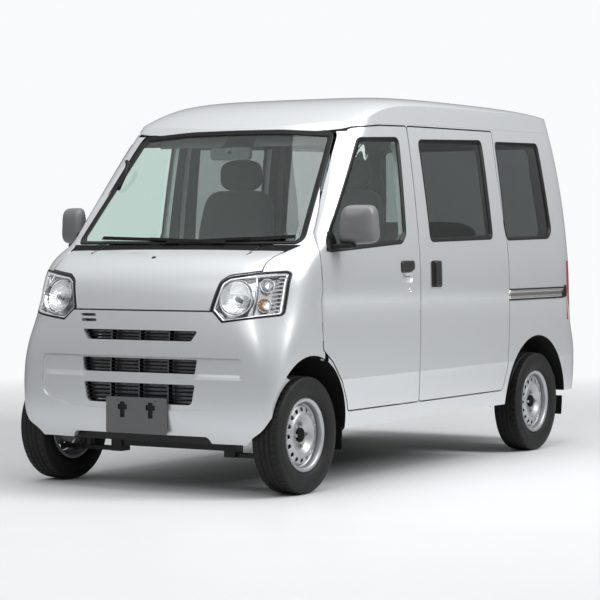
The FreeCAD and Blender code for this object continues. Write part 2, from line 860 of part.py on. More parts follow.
def bumper_half(size, master):
    """The left half of the front bumper: a skin with a shallow field, three slots and a raised foot."""
    seam = size["fixed_seam"]
    zone = side_prism(bumper_outline(size), MIDDLE, 900, -seam)
    bumper = master.shell(0, size["bumper_wall"]).common(zone)
    recess = front_prism(bumper_recess_outline(), -1800, -1400).cut(master.layer(size["recess_depth"]))
    foot = [(MIDDLE, 150), (MIDDLE, 266), (370, 266, 30), (430, 150)]
    tools = [
        recess,
        lamp_prism(seam),
        front_prism(hood_outline(size), -1800, -1200, size["door_gap"]),
        front_prism(foot, -1800, -1400),
        block(MIDDLE, 900, -1800, -1400, 0, size["bumper_height"]),
        arch_prism(size, "front", 690, 900),
        steer_ball(size),
    ]
    tools += [front_prism(slot, -1800, -1500) for slot in grille_slots()]
    return cut_all(bumper, tools)


def grille_half(size, master):
    """The left half of the louvres and uprights behind the slots, on one backing frame."""
    depth = size["bumper_wall"]
    frame = master.shell(depth + 0.3, depth + 14).common(block(MIDDLE, 345, -1800, -1500, 384, 760))
    frame = cut_all(frame, [front_prism(slot, -1800, -1500, -4) for slot in grille_slots()])
    layer = master.shell(size["recess_depth"] + 8, depth + 14)
    pieces = []
    for slot in grille_slots():
        top, low = slot[0][1], slot[3][1]
        inside = layer.common(front_prism(slot, -1800, -1500, -0.5))
        count = round((top - low) / size["louvre_pitch"])
        pitch = (top - low) / count
        for i in range(1, count):
            z = low + pitch * i
            pieces.append(inside.common(block(MIDDLE, 330, -1800, -1500, z - 2.5, z + 2.5)))
        for x in (0, 160):
            pieces.append(inside.common(block(x - 3, x + 3, -1800, -1500, low, top)))
    return frame.fuse(pieces)


def plate_holder(size):
    """The flat number plate holder with its two bracket cut-outs and screw holes, and two stays behind."""
    front = -size["body_length"] / 2
    corners = [(-170, 434, 10), (170, 434, 10), (170, 268, 10), (-170, 268, 10)]
    plate = front_prism(corners, front, front + 3)
    tools = []
    for x in (-78, 78):
        tools.append(block(x - 26, x + 26, front - 5, front + 10, 376, 400))
        tools.append(block(x - 13, x + 13, front - 5, front + 10, 340, 412))
    for x in (-size["plate_spacing"] / 2, size["plate_spacing"] / 2):
        tools.append(rod((x, front - 5, 418), (x, front + 10, 418), 3.5))
    return cut_all(plate, tools)


def plate_stays(size, master):
    """Two stays from the plate holder back to the bumper's skin."""
    front = -size["body_length"] / 2
    stays = [block(x - 12, x + 12, front + 3, front + 60, 276, 372) for x in (-140, 140)]
    left = stays[1].cut(master.layer(-size["seat_gap"]))
    return [left, mirrored(left)]


# Mouth centre, axis, radius and depth of each bowl in the left headlamp.
REFLECTORS = (
    ((499, -1626, 890), (0.08, -0.95, 0.29), 84, 34),
    ((634, -1572, 952), (0.35, -0.88, 0.32), 37, 28),
    ((640, -1592, 862), (0.35, -0.9, 0.25), 37, 28),
)


def make_front_end(doc, size, master):
    lamp = lamp_prism()
    lens = master.shell(0, 4).common(lamp).Solids
    feature(doc, "headlamp_lenses", Part.makeCompound(lens + [mirrored(s) for s in lens]))
    tub = master.shell(4 + size["seat_gap"], size["lamp_depth"]).common(lamp)
    hollow = master.shell(0, size["lamp_depth"] - 4).common(lamp_prism(-4))
    tub = largest(tub.cut(hollow).fuse(reflectors(size, master)))
    feature(doc, "headlamps", Part.makeCompound([tub, mirrored(tub)]))

    feature(doc, "hood", whole(hood_half(size, master)))
    feature(doc, "cowl", whole(cowl_half(size, master)))
    bumper = whole(bumper_half(size, master))
    bumper = cut_all(bumper, [front_prism(vent, -1800, -1500) for vent in small_vents()])
    feature(doc, "bumper_front", largest(bumper))
    feature(doc, "grille_bars", whole(grille_half(size, master)))
    feature(doc, "plate_holder", largest(plate_holder(size).fuse(plate_stays(size, master))))


def reflectors(size, master):
    """The left lamp's round main bowl and its two small outer bowls."""
    zone = lamp_prism(-1)
    room = master.shell(8, size["lamp_depth"]).common(zone)
    bowls = []
    for mouth, axis, radius, depth in REFLECTORS:
        mouth, back = Vector(*mouth), -Vector(*axis).normalize()
        outer = Part.makeCone(radius, radius * 0.45, depth, mouth, back)
        inner = Part.makeCone(radius - 2, radius * 0.45 - 3, depth - 3, mouth, back)
        stem = Part.makeCylinder(radius * 0.3, 60, mouth + back * (depth - 1), back)
        bowls.append(outer.cut(inner).fuse(stem).common(room))
    return bowls


def make_rear_end(doc, size, master):
    gate = master.shell(0, size["door_wall"]).common(front_prism(tailgate_outline(size), 1200, 1900))
    y, z = tailgate_axis(size)
    tools = [front_prism(tailgate_window_outline(size), 1200, 1900)]
    for x in TAILGATE_HINGE_PLACES:
        reach = HINGE_HALF + PIN_BITE + 1
        tools.append(block(x - HINGE_HALF, x + HINGE_HALF, y - 80, y + 30, z - 36, z + 60))
        tools.append(rod((x - reach, y, z), (x + reach, y, z), size["hinge_pin_radius"] + size["seat_gap"]))
    feature(doc, "tailgate", whole(cut_all(gate, tools)))

    bumper = master.shell(0, 50).common(side_prism(rear_bumper_outline(), MIDDLE, 900))
    tools = [
        block(MIDDLE, 900, 1300, 1900, 0, 308),
        arch_prism(size, "rear", 500, 900, size["fixed_seam"]),
        front_prism(tailgate_outline(size), 1200, 1900, size["door_gap"]),
    ]
    feature(doc, "bumper_rear", whole(cut_all(bumper, tools)))

    zone = front_prism(tail_lamp_outline(), 1380, 1900)
    lamp = master.shell(0, size["lamp_depth"] - size["seat_gap"]).common(zone)
    lamp = lamp.cut(block(0, 900, 1300, 1449, 0, 2000)).Solids
    feature(doc, "tail_lamps", Part.makeCompound(lamp + [mirrored(s) for s in lamp]))


# Pieces built as document objects, with their sizes and places tied to the sheet

AXLE_FRONT = "(Sizes.front_overhang - Sizes.body_length / 2)"
AXLE_REAR = "(Sizes.front_overhang - Sizes.body_length / 2 + Sizes.wheelbase)"
TRACK = "Sizes.wheel_track / 2"
KINGPIN = "(Sizes.wheel_track / 2 - Sizes.kingpin_inset)"
HUB = "Sizes.tyre_radius"
RAIL = "Sizes.rail_spacing / 2"
FREE = "Sizes.seat_gap"
ACROSS = Rotation(Vector(0, 1, 0), 90)
ALONG = Rotation(Vector(1, 0, 0), -90)
FORWARD = Rotation(Vector(1, 0, 0), 90)


def box(doc, x, y, z, length, width, height):
    """A block from its lowest corner; every value is an expression."""
    obj = doc.addObject("Part::Box", "Block")
    bind(obj, {"Length": length, "Width": width, "Height": height})
    return place(obj, x, y, z)


def bar(doc, x, y, z, radius, length, turn=Rotation()):
    """A round bar from the middle of its foot, along Z unless it is turned."""
    obj = doc.addObject("Part::Cylinder", "Bar")
    obj.Placement.Rotation = turn
    bind(obj, {"Radius": radius, "Height": length})
    return place(obj, x, y, z)


def cone(doc, x, y, z, sizes, turn):
    """A cone frustum from the middle of its foot; sizes are its two radii and its height."""
    obj = doc.addObject("Part::Cone", "Cone")
    obj.Placement.Rotation = turn
    bind(obj, dict(zip(("Radius1", "Radius2", "Height"), sizes)))
    return place(obj, x, y, z)


def fused(doc, name, pieces):
    obj = doc.addObject("Part::MultiFuse", name)
    obj.Shapes = pieces
    return obj


def less(doc, name, base, tools):
    obj = doc.addObject("Part::Cut", name)
    obj.Base = base
    obj.Tool = tools[0] if len(tools) == 1 else fused(doc, name + "_tool", tools)
    return obj


def mirror_of(doc, name, source):
    obj = doc.addObject("Part::Mirroring", name)
    obj.Source = source
    obj.Normal = (1, 0, 0)
    return obj


def draw(sketch, wire):
    """Put an outline's lines and arcs into a sketch."""
    for edge in wire.Edges:
        curve = edge.Curve
        if curve.TypeId == "Part::GeomCircle":
            sketch.addGeometry(Part.ArcOfCircle(curve, edge.FirstParameter, edge.LastParameter))
        else:
            sketch.addGeometry(Part.LineSegment(edge.Vertexes[0].Point, edge.Vertexes[1].Point))


def padded_body(doc, name, points, width, centre):
    """A body from an (along, up) outline, padded across the van about its centre place."""
    body = doc.addObject("PartDesign::Body", name)
    sketch = body.newObject("Sketcher::SketchObject", name + "_outline")
    draw(sketch, outline(points))
    pad = body.newObject("PartDesign::Pad", name + "_pad")
    pad.Profile = sketch
    bind(pad, {"Length": width})
    body.Placement.Rotation = Rotation(Vector(1, 1, 1), 120)
    place(body, f"{centre} - ({width}) / 2")
    return keep(body, name)


# Wheels

def turned_body(doc, name, points, side, along):
    """A body turned about the wheel's axle from an (across, radius) outline, on one side of the van."""
    body = doc.addObject("PartDesign::Body", name)
    sketch = body.newObject("Sketcher::SketchObject", name + "_outline")
    draw(sketch, outline(points))
    turn = body.newObject("PartDesign::Revolution", name + "_turn")
    turn.Profile = sketch
    turn.ReferenceAxis = (sketch, ["H_Axis"])
    turn.Angle = 360
    if side < 0:
        body.Placement.Rotation = Rotation(Vector(0, 0, 1), 180)
    place(body, f"{side} * {TRACK}", along, HUB)
    return body


def tyre_points(size):
    """A tyre's section as it shows outside the rim: tread, shoulders and sidewalls down to the flanges."""
    radius, half = size["tyre_radius"], size["tyre_width"] / 2
    flange = (size["rim_width"] / 2 + 2, size["rim_radius"] + size["seat_gap"])
    right = [(half - 18, radius), (half, radius - 44), flange]
    return right + [(-x, y) for x, y in reversed(right)]


def rim_points(size):
    """A pressed steel wheel's section: flanges, bead seats, well, and the disc with its raised ring."""
    flange, bead, half = size["rim_radius"], size["bead_radius"], size["rim_width"] / 2
    crest, face, bore = size["disc_crest"], size["hub_face"], size["hub_bore"]
    well, steel = bead - 17, 3.5
    return [
        (-half, flange),
        (-half, bead - steel),
        (-22, bead - steel),
        (-14, well - steel),
        (10, well - steel),
        (crest - 14, 108),
        (crest - steel, 86),
        (face - steel, 58),
        (face - steel, bore),
        (face, bore),
        (face, 60, 16),
        (crest, 88, 16),
        (crest - 10, 112, 16),
        (18, well - 2),
        (24, bead - steel),
        (half, bead - steel),
        (half, flange),
        (half - 4, flange),
        (half - 4, bead),
        (20, bead),
        (12, well),
        (-12, well),
        (-20, bead),
        (-half + 4, bead),
        (-half + 4, flange),
    ]


def make_wheel(doc, size, name, side, along):
    keep(turned_body(doc, "tyre_" + name, tyre_points(size), side, along), "tyre_" + name)
    rim = turned_body(doc, "rim_shell_" + name, rim_points(size), side, along)
    holes = rim.newObject("Sketcher::SketchObject", "vent_" + name)
    holes.AttachmentSupport = (rim.Origin.OriginFeatures[5], [""])
    holes.MapMode = "FlatFace"
    hole = Part.Circle(Vector(0, size["vent_circle"], 0), Vector(0, 0, 1), size["vent_radius"])
    holes.addGeometry(hole)
    holes.addConstraint(Sketcher.Constraint("Radius", 0, size["vent_radius"]))
    holes.setExpression("Constraints[0]", "Sizes.vent_radius")
    pocket = rim.newObject("PartDesign::Pocket", "vent_cut_" + name)
    pocket.Profile = holes
    pocket.Type = 1
    pocket.Reversed = True
    ring = rim.newObject("PartDesign::PolarPattern", "vents_" + name)
    ring.Originals = [pocket]
    ring.Axis = (rim.Origin.OriginFeatures[0], [""])
    ring.Angle = 360
    ring.Occurrences = int(size["vent_count"])
    bind(ring, {"Occurrences": "Sizes.vent_count"})
    rim.Tip = ring
    keep(fused(doc, "rim_" + name, [rim] + hub_trim(doc, size, side, along)), "rim_" + name)


def hub_trim(doc, size, side, along):
    """The hub cap with its hollow, and the four wheel nuts."""
    turn = Rotation(Vector(0, 1, 0), 90 * side)
    face = f"{side} * ({TRACK} + Sizes.hub_face - 1)"
    cap = bar(doc, face, along, HUB, "Sizes.hub_cap_radius", "26", turn)
    foot = f"{side} * ({TRACK} + Sizes.hub_face - 12)"
    hollow = bar(doc, foot, along, HUB, "Sizes.hub_bore + 1", "31", turn)
    trim = [less(doc, "cap", cap, [hollow])]
    for i in range(4):
        angle = math.pi / 4 + i * math.pi / 2
        y, z = math.cos(angle), math.sin(angle)
        at = f"{along} + {y:.4f} * Sizes.nut_circle / 2", f"{HUB} + {z:.4f} * Sizes.nut_circle / 2"
        trim.append(bar(doc, face, at[0], at[1], "Sizes.nut_radius", "17", turn))
    return trim


# Running gear

def make_knuckles(doc):
    post = bar(doc, KINGPIN, AXLE_FRONT, f"{HUB} - 82", "22", "168")
    reach = "Sizes.kingpin_inset + 34"
    spindle = bar(doc, KINGPIN, AXLE_FRONT, HUB, f"Sizes.hub_bore - {FREE}", reach, ACROSS)
    plate = bar(doc, f"{KINGPIN} - 18", AXLE_FRONT, HUB, "90", "5", ACROSS)
    arm = box(doc, f"{KINGPIN} - 60", f"{AXLE_FRONT} + 10", f"{HUB} + 20", "50", "80", "16")
    solid = fused(doc, "knuckle_solid", [post, spindle, plate, arm])
    bores = [bar(doc, KINGPIN, AXLE_FRONT, f"{HUB} - 83", f"9 + {FREE}", "20")]
    bores.append(bar(doc, KINGPIN, AXLE_FRONT, f"{HUB} + 67", f"9 + {FREE}", "20"))
    left = keep(less(doc, "knuckle_left", solid, bores), "knuckle_left")
    keep(mirror_of(doc, "knuckle_right", left), "knuckle_right")


def make_front_suspension(doc):
    """Cross-member, arms and struts with the pins that the knuckles turn on, and the steering rack."""
    arm = box(doc, "290", f"{AXLE_FRONT} - 20", f"{HUB} - 118", f"{KINGPIN} - 268", "40", "20")
    rise = f"Sizes.rail_height - {FREE} - {HUB} + 118"
    foot = box(doc, "290", f"{AXLE_FRONT} - 35", f"{HUB} - 118", "60", "70", rise)
    low_pin = bar(doc, KINGPIN, AXLE_FRONT, f"{HUB} - 100", "9", "36")
    top_arm = box(doc, "485", f"{AXLE_FRONT} - 15", f"{HUB} + 107", f"{KINGPIN} - 473", "30", "20")
    top_pin = bar(doc, KINGPIN, AXLE_FRONT, f"{HUB} + 68", "9", "50")
    strut = bar(doc, "505", AXLE_FRONT, f"{HUB} - 118", "24", "500")
    dome = bar(
        doc,
        "400",
        f"{AXLE_FRONT} + Sizes.front_arch_lead",
        "Sizes.front_arch_height",
        f"Sizes.front_arch_radius - {FREE}",
        "200",
        ACROSS,
    )
    leg = doc.addObject("Part::MultiCommon", "strut_leg")
    leg.Shapes = [strut, dome]
    left = fused(doc, "suspension_left", [arm, foot, low_pin, top_arm, top_pin, leg])
    right = mirror_of(doc, "suspension_right", left)
    beam = box(doc, "-300", f"{AXLE_FRONT} - 25", f"{HUB} - 90", "600", "50", "60")
    rack = bar(doc, "-320", f"{AXLE_FRONT} + 58", f"{HUB} - 50", "24", "640", ACROSS)
    brackets = []
    for x in (-150, 126):
        brackets.append(box(doc, str(x), f"{AXLE_FRONT} + 10", f"{HUB} - 66", "24", "50", "30"))
    keep(fused(doc, "front_suspension", [left, right, beam, rack] + brackets), "front_suspension")


def make_rear_axle(doc, size):
    """The live axle with its housing, drums and wheel spindles, the leaf springs and the drive shaft."""
    tube = bar(doc, "-580", AXLE_REAR, HUB, "32", "1160", ACROSS)
    pieces = [tube]
    pieces.append(bar(doc, "0", f"{AXLE_REAR} - 25", HUB, "105", "50", ALONG))
    pieces.append(cone(doc, "0", f"{AXLE_REAR} - 25", HUB, ("105", "48", "85"), FORWARD))
    pieces.append(cone(doc, "0", f"{AXLE_REAR} + 25", HUB, ("105", "62", "35"), ALONG))
    for side in (-1, 1):
        turn = Rotation(Vector(0, 1, 0), 90 * side)
        pieces.append(bar(doc, f"{side} * ({TRACK} - 74)", AXLE_REAR, HUB, "112", "62", turn))
        spindle = f"Sizes.hub_bore - {FREE}"
        pieces.append(bar(doc, f"{side} * ({TRACK} - 14)", AXLE_REAR, HUB, spindle, "48", turn))
    axle_along = rear_axle(size)
    shaft = doc.addObject("Part::Feature", "drive_shaft")
    shaft.Shape = drive_shaft(size, 28)
    pieces.append(shaft)
    springs = doc.addObject("Part::Feature", "leaf_springs")
    springs.Shape = leaf_springs(size, axle_along)
    pieces.append(springs)
    keep(fused(doc, "rear_axle", pieces), "rear_axle")


def drive_shaft(size, radius):
    """The shaft from the engine's rear face down to the axle housing."""
    start, stop = (0, size["engine_rear"] + 2.4, 360), (0, rear_axle(size) - 60, size["tyre_radius"])
    return rod(start, stop, radius)


def leaf_springs(size, axle_along):
    """A curved leaf under each rail, with an eye at both ends and hanger plates beside the rail."""
    half = size["rail_spacing"] / 2
    front, rear = (axle_along - 435, 330), (axle_along + 445, 400)
    seat = size["tyre_radius"] + 30
    edges = []
    for rise, turn in ((0, 1), (16, -1)):
        ends = [Vector(0, front[0], front[1] + rise - 8), Vector(0, rear[0], rear[1] + rise - 8)]
        middle = Vector(0, axle_along, seat + rise)
        edges.append(Part.Arc(ends[0], middle, ends[1]).toShape())
    edges.append(Part.makeLine(edges[0].Vertexes[0].Point, edges[1].Vertexes[0].Point))
    edges.append(Part.makeLine(edges[0].Vertexes[-1].Point, edges[1].Vertexes[-1].Point))
    leaf = Part.Face(Part.Wire(Part.__sortEdges__(edges))).extrude(Vector(50, 0, 0))
    leaf.translate(Vector(half - 25, 0, 0))
    pieces = []
    for y, z in (front, rear):
        pieces.append(rod((half - 25, y, z), (half + 32, y, z), 20))
        plate = block(half + 25 + size["seat_gap"], half + 32, y - 18, y + 18, z - 18, z + 85)
        pieces.append(plate)
    left = leaf.fuse(pieces)
    return left.fuse(mirrored(left))


def make_chassis(doc, size):
    """Two rails that kick up over the rear axle, with their cross-members and the front tie."""
    half, low = size["rail_spacing"] / 2, size["rail_height"]
    line = [(-1560, low), (560, low), (720, low + 130), (1560, low + 130)]
    line += [(1560, low + 200), (690, low + 200)]
    line += [(530, low + 90), (-1560, low + 90)]
    left = side_prism(line, half - 25, half + 25)
    members = [mirrored(left)]
    for y, lift in ((-1220, 0), (-880, 0), (-200, 0), (500, 0), (1500, 130)):
        members.append(block(-half, half, y, y + 50, low + lift + 10, low + lift + 60))
    tie = [(-430, 226, 12), (430, 226, 12), (430, low + 6, 12), (-430, low + 6, 12)]
    members.append(front_prism(tie, -1600, -1560))
    frame = left.fuse(members)
    pipe_room = rod((-200, -400, 355), (-200, 1700, 355), 30)
    feature(doc, "chassis_frame", cut_all(frame, [pipe_room, drive_shaft(size, 36)]))


def make_drive(doc):
    """The engine as one plain block, the exhaust line and the fuel tank."""
    front = "(Sizes.engine_rear - 540)"
    engine = box(doc, "-240", front, "330", "480", "540", "310")
    reach = f"({RAIL} - 25 - {FREE})"
    mount = box(doc, f"-{reach}", f"{front} + 240", "335", f"2 * {reach}", "50", "40")
    keep(fused(doc, "engine_block", [engine, mount]), "engine_block")

    line = "-200"
    pipe = bar(doc, line, f"Sizes.engine_rear + {FREE}", "355", "20", "1860", ALONG)
    converter = bar(doc, line, "-100", "355", "44", "230", ALONG)
    muffler = bar(doc, line, "1270", "355", "68", "200", ALONG)
    hanger = box(doc, f"-({RAIL} - 25 - {FREE})", "1380", "400", f"{RAIL} - 25 - {FREE} - 190", "20", "60")
    keep(fused(doc, "exhaust", [pipe, converter, muffler, hanger]), "exhaust")

    corners = [(-150, 290, 30), (-150, 450, 30), (440, 450, 30), (440, 290, 30)]
    padded_body(doc, "fuel_tank", corners, "240", f"{RAIL} + 25 + {FREE} + 120")


# Inside and underneath, following the body's inner face

def inner_face(size, master):
    """The room inside the body's wall, with the seating gap."""
    return master.layer(size["wall"] + size["seat_gap"])


def floor_half(size, master):
    """The left half of the floor: front wall, cab floor, engine cover, load floor and the steps' risers."""
    thick = size["floor_wall"]
    low, high, cover = size["cab_floor"], size["cargo_floor"], size["engine_cover"]
    inboard = size["liner_inner"] - size["liner_wall"] - size["seat_gap"]
    back = front_axle(size) + size["front_arch_lead"] + size["front_arch_radius"]
    back += size["liner_wall"] + size["seat_gap"]
    cover_front, cover_rear = size["engine_rear"] - 660, size["engine_rear"] + 60
    pieces = [
        block(0, inboard, -1344, cover_front, low - thick, low),
        block(0, inboard, -1344, -1330, low - thick, 1040),
        block(inboard - 1, 700, -1344, -1330, 640, 1040),
        block(0, 700, back, cover_front, low - thick, low),
        block(0, 700, cover_front, cover_front + thick, low - thick, cover),
        block(0, 700, cover_front, cover_rear, cover - thick, cover),
        block(0, 700, cover_rear - thick, cover_rear, high - thick, cover),
        block(0, 700, cover_rear - thick, 1650, high - thick, high),
    ]
    floor = pieces[0].fuse(pieces[1:])
    reach = size["c_pillar"] - 12
    risers = [
        side_prism([(back, 300), (back, low), (cover_front, low), (cover_front, cover), (cover_rear, cover),
                    (cover_rear, high), (reach, high), (reach, 300)], 0, 700),
    ]
    skin = master.shell(size["wall"] + size["seat_gap"], size["wall"] + thick)
    riser = skin.common(risers[0]).common(block(500, 800, -1100, 700, 0, 700))
    return floor.common(inner_face(size, master)).fuse(riser)


def liner_half(size, master):
    """The left wheel arch liners, front and rear, each with its mud flap."""
    wall, inner = size["liner_wall"], size["liner_inner"]
    liners = []
    for which, inboard in (("front", inner), ("rear", 545.0)):
        outer = arch_prism(size, which, inboard - wall, 700, wall)
        hollow = arch_prism(size, which, inboard, 710)
        liner = outer.cut(hollow).cut(block(0, 800, -1800, 1800, 0, 262))
        liner = liner.cut(block(500, 600, rear_axle(size) - 70, rear_axle(size) + 70, 200, 350))
        liners.append(liner.common(inner_face(size, master)))
    front = front_axle(size) + size["front_arch_lead"] + size["front_arch_radius"]
    rear = rear_axle(size) + size["rear_arch_lead"] + size["rear_arch_radius"]
    for i, y in enumerate((front, rear)):
        flap = side_prism([(y, 300), (y, 172), (y + wall + 1, 172), (y + wall + 1, 300)], 575, 700)
        liners[i] = liners[i].fuse(flap.common(master.layer(12)).cut(block(0, 800, -1800, 1800, 277, 310).cut(
            inner_face(size, master))))
    return liners


def make_inside(doc, size, master):
    feature(doc, "floor_pan", whole(floor_half(size, master)))
    liners = []
    for liner in liner_half(size, master):
        solid = largest(liner)
        liners += [solid, mirrored(solid)]
    feature(doc, "wheel_liners", Part.makeCompound(liners))
    feature(doc, "dashboard", dashboard(size, master))
    feature(doc, "cabin_fittings", cabin_fittings(size, master))


def steering_axis(size):
    """The steering wheel's centre and the direction of its column, upwards."""
    tilt = math.radians(size["steering_tilt"])
    centre = Vector(-size["seat_spacing"] / 2 - 20, size["steering_along"], size["steering_height"])
    return centre, Vector(0, math.sin(tilt), math.cos(tilt))


def dashboard(size, master):
    """The dashboard with its gauge hood and the steering column with its shaft end."""
    section = [(-1329.6, 800), (-1329.6, 1072), (-1200, 1080, 60), (-1070, 1052, 40), (-1018, 985, 40)]
    section += [(-1014, 900, 40), (-1080, 800, 30)]
    half = side_prism(section, 0, 700).common(inner_face(size, master))
    board = half.fuse(mirrored(half))
    centre, axis = steering_axis(size)
    line = [(-1296, 1040), (-1276, 1122, 30), (-1192, 1108, 20), (-1172, 1030)]
    hood = side_prism(line, centre.x - 150, centre.x + 150)
    column = Part.makeCylinder(24, 210, centre - axis * 232, axis)
    shaft = Part.makeCylinder(9, 40, centre - axis * 30, axis)
    return largest(board.fuse([hood, column, shaft]))


def make_steering_wheel(doc, size):
    """A tube ring with a hub and three spokes, bored for the column's shaft."""
    centre, axis = steering_axis(size)
    turn = Rotation(Vector(1, 0, 0), -size["steering_tilt"])
    ring = doc.addObject("Part::Torus", "ring")
    ring.Placement.Rotation = turn
    bind(ring, {"Radius1": "Sizes.steering_radius - Sizes.steering_tube", "Radius2": "Sizes.steering_tube"})
    pieces = [ring, bar(doc, "0", "0", "0", "48", "24", turn)]
    for angle in (0, 180, 270):
        spoke = doc.addObject("Part::Feature", "spoke")
        spoke.Shape = block(20, size["steering_radius"] - size["steering_tube"], -14, 14, -5, 7)
        spoke.Placement.Rotation = turn.multiply(Rotation(Vector(0, 0, 1), angle))
        pieces.append(spoke)
    hub_foot = axis * -16
    pieces.append(bar(doc, str(hub_foot.x), str(hub_foot.y), str(hub_foot.z), "40", "30", turn))
    bore_foot = axis * -20
    bore = bar(doc, str(bore_foot.x), str(bore_foot.y), str(bore_foot.z), f"9 + {FREE}", "32", turn)
    wheel = less(doc, "steering_wheel", fused(doc, "steering_solid", pieces), [bore])
    place(wheel, "-Sizes.seat_spacing / 2 - 20", "Sizes.steering_along", "Sizes.steering_height")
    keep(wheel, "steering_wheel")


def cabin_fittings(size, master):
    """The inner mirror on its stem and the two sun visors under the roof's front rail."""
    glass = 4 + size["screen_wall"] + size["seat_gap"]
    head = front_prism([(-112, 1538, 18), (112, 1538, 18), (112, 1598, 18), (-112, 1598, 18)], -905, -880)
    stem = rod((0, -892, 1572), (0, -990, 1600), 9)
    room = master.layer(glass)
    room = room.fuse(mirrored(room))
    mirror = head.fuse(stem).common(room)
    face = size["wall"] + size["seat_gap"]
    visor = master.shell(face, face + 12)
    flap = [(90, 1604, 14), (480, 1604, 14), (470, 1714, 14), (90, 1714, 14)]
    visor = visor.common(front_prism(flap, -1000, -600))
    visor = largest(visor)
    return Part.makeCompound([largest(mirror), visor, mirrored(visor)])


def make_seats(doc):
    """Two front seats on the engine cover and a rear bench on the load floor."""
    cushion = [(-900, 690.3, 20), (-900, 825, 45), (-385, 825, 12), (-385, 690.3, 12)]
    back = [(-498, 825.7, 15), (-385, 825.7, 15), (-268, 1400, 38), (-358, 1400, 38)]
    rest = [(-338, 1400.4, 12), (-278, 1400.4, 12), (-252, 1560, 30), (-328, 1568, 30)]
    for name, side in (("left", 1), ("right", -1)):
        centre = f"{side} * Sizes.seat_spacing / 2"
        padded_body(doc, "seat_cushion_" + name, cushion, "Sizes.seat_width", centre)
        padded_body(doc, "seat_back_" + name, back, "Sizes.seat_width - 20", centre)
        padded_body(doc, "headrest_" + name, rest, "250", centre)
    bench = [(180, 660.3, 12), (180, 790, 40), (640, 790, 12), (640, 660.3, 12)]
    bench_back = [(540, 790.7, 15), (640, 790.7, 15), (716, 1240, 38), (630, 1250, 38)]
    padded_body(doc, "rear_seat_cushion", bench, "1080", "0")
    padded_body(doc, "rear_seat_back", bench_back, "1080", "0")


# Outside fittings, proud of the skin

def proud(size, master, outline_points, height, x_from=300):
    """A plate on the left side's skin, as high as given."""
    plate = master.shell(-height, -size["seat_gap"])
    return largest(plate.common(side_prism(outline_points, x_from, 950)))


def make_door_fittings(doc, size, master):
    """Door mirror on its foot, and the flap handle, for each front door."""
    handle = proud(size, master, [(-517, 988, 14), (-381, 988, 14), (-381, 1050, 14), (-517, 1050, 14)], 9)
    sail = [(-1214, 1098, 8), (-1096, 1098, 8), (-1130, 1170, 16), (-1176, 1196, 10)]
    foot = proud(size, master, sail, 12)
    arm = rod((728, -1150, 1132), (800, -1030, 1168), 15).cut(master.layer(-4))
    shell = Part.makeBox(138, 66, 186, Vector(766, -1046, 1126))
    shell = shell.makeFillet(26, shell.Edges)
    mirror = foot.fuse([arm, shell])
    left = Part.makeCompound([largest(mirror), handle])
    feature(doc, "door_fittings_left", left)
    feature(doc, "door_fittings_right", mirrored(left))


def make_slide_fittings(doc, size, master):
    """The sliding doors' outer rails and their upright handles."""
    rail = proud(size, master, [(692, 856, 4), (1428, 856, 12), (1428, 884, 12), (692, 884, 4)], 5)
    handle = proud(size, master, [(-216, 908, 20), (-84, 908, 20), (-84, 1054, 20), (-216, 1054, 20)], 9)
    left = [rail, handle]
    feature(doc, "slide_fittings", Part.makeCompound(left + [mirrored(s) for s in left]))


def make_wipers(doc, size, master):
    """Two blades lying at the foot of the windscreen with their arms and pivots."""
    shapes = []
    blades = (((-493, 1162), (114, 1146), (250, 1141)), ((142, 1146), (580, 1166), (-80, 1141)))
    for start, stop, pivot in blades:
        blade = front_prism(strip(start, stop, 8), -1800, -1100)
        middle = ((start[0] + stop[0]) / 2, (start[1] + stop[1]) / 2 + 4)
        arm = front_prism(strip(middle, pivot, 6), -1800, -1100)
        shapes.append((blade, arm))
    low, high = master.shell(-8, 4 - size["seat_gap"]), master.shell(-16, -7)
    low, high = low.fuse(mirrored(low)), high.fuse(mirrored(high))
    wipers = [low.common(blade).fuse(high.common(arm)) for blade, arm in shapes]
    feature(doc, "wipers", Part.makeCompound([largest(wiper) for wiper in wipers]))


def strip(start, stop, half):
    """A straight strip between two (across, up) points."""
    along = Vector(stop[0] - start[0], stop[1] - start[1], 0).normalize()
    side = Vector(-along.y, along.x, 0) * half
    corners = [Vector(*start) + side, Vector(*stop) + side, Vector(*stop) - side, Vector(*start) - side]
    return [(c.x, c.y) for c in corners]


def write_parts(doc):
    """Check every object, then write each sub-part to its own file."""
    doc.recompute()
    for obj in doc.Objects:
        bad = [state for state in obj.State if state in ("Invalid", "Error")]
        if bad:
            raise RuntimeError(f"{obj.Label} is {bad}")
    for obj in EXPORTS:
        if obj.Shape.isNull() or not obj.Shape.isValid():
            raise RuntimeError(f"{obj.Label} has no valid shape")
    os.makedirs("parts", exist_ok=True)
    for obj in EXPORTS:
        obj.Shape.exportStep(f"parts/{obj.Label}.step")


def main():
    doc = FreeCAD.newDocument("kei_van")
    sheet = make_sheet(doc)
    size = {alias: float(getattr(sheet, alias)) for alias in SIZES}
    master = Master(size)
    make_body_panels(doc, size, master)
    make_doors(doc, size, master)
    make_glass(doc, size, master)
    make_front_end(doc, size, master)
    make_rear_end(doc, size, master)
    wheels = (("front_left", 1, AXLE_FRONT), ("front_right", -1, AXLE_FRONT))
    wheels += (("rear_left", 1, AXLE_REAR), ("rear_right", -1, AXLE_REAR))
    for name, side, along in wheels:
        make_wheel(doc, size, name, side, along)
    make_knuckles(doc)
    make_front_suspension(doc)
    make_rear_axle(doc, size)
    make_chassis(doc, size)
    make_drive(doc)
    make_inside(doc, size, master)
    make_steering_wheel(doc, size)
    make_seats(doc)
    make_door_fittings(doc, size, master)
    make_slide_fittings(doc, size, master)
    make_wipers(doc, size, master)
    write_parts(doc)


main()
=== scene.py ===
import json
import math

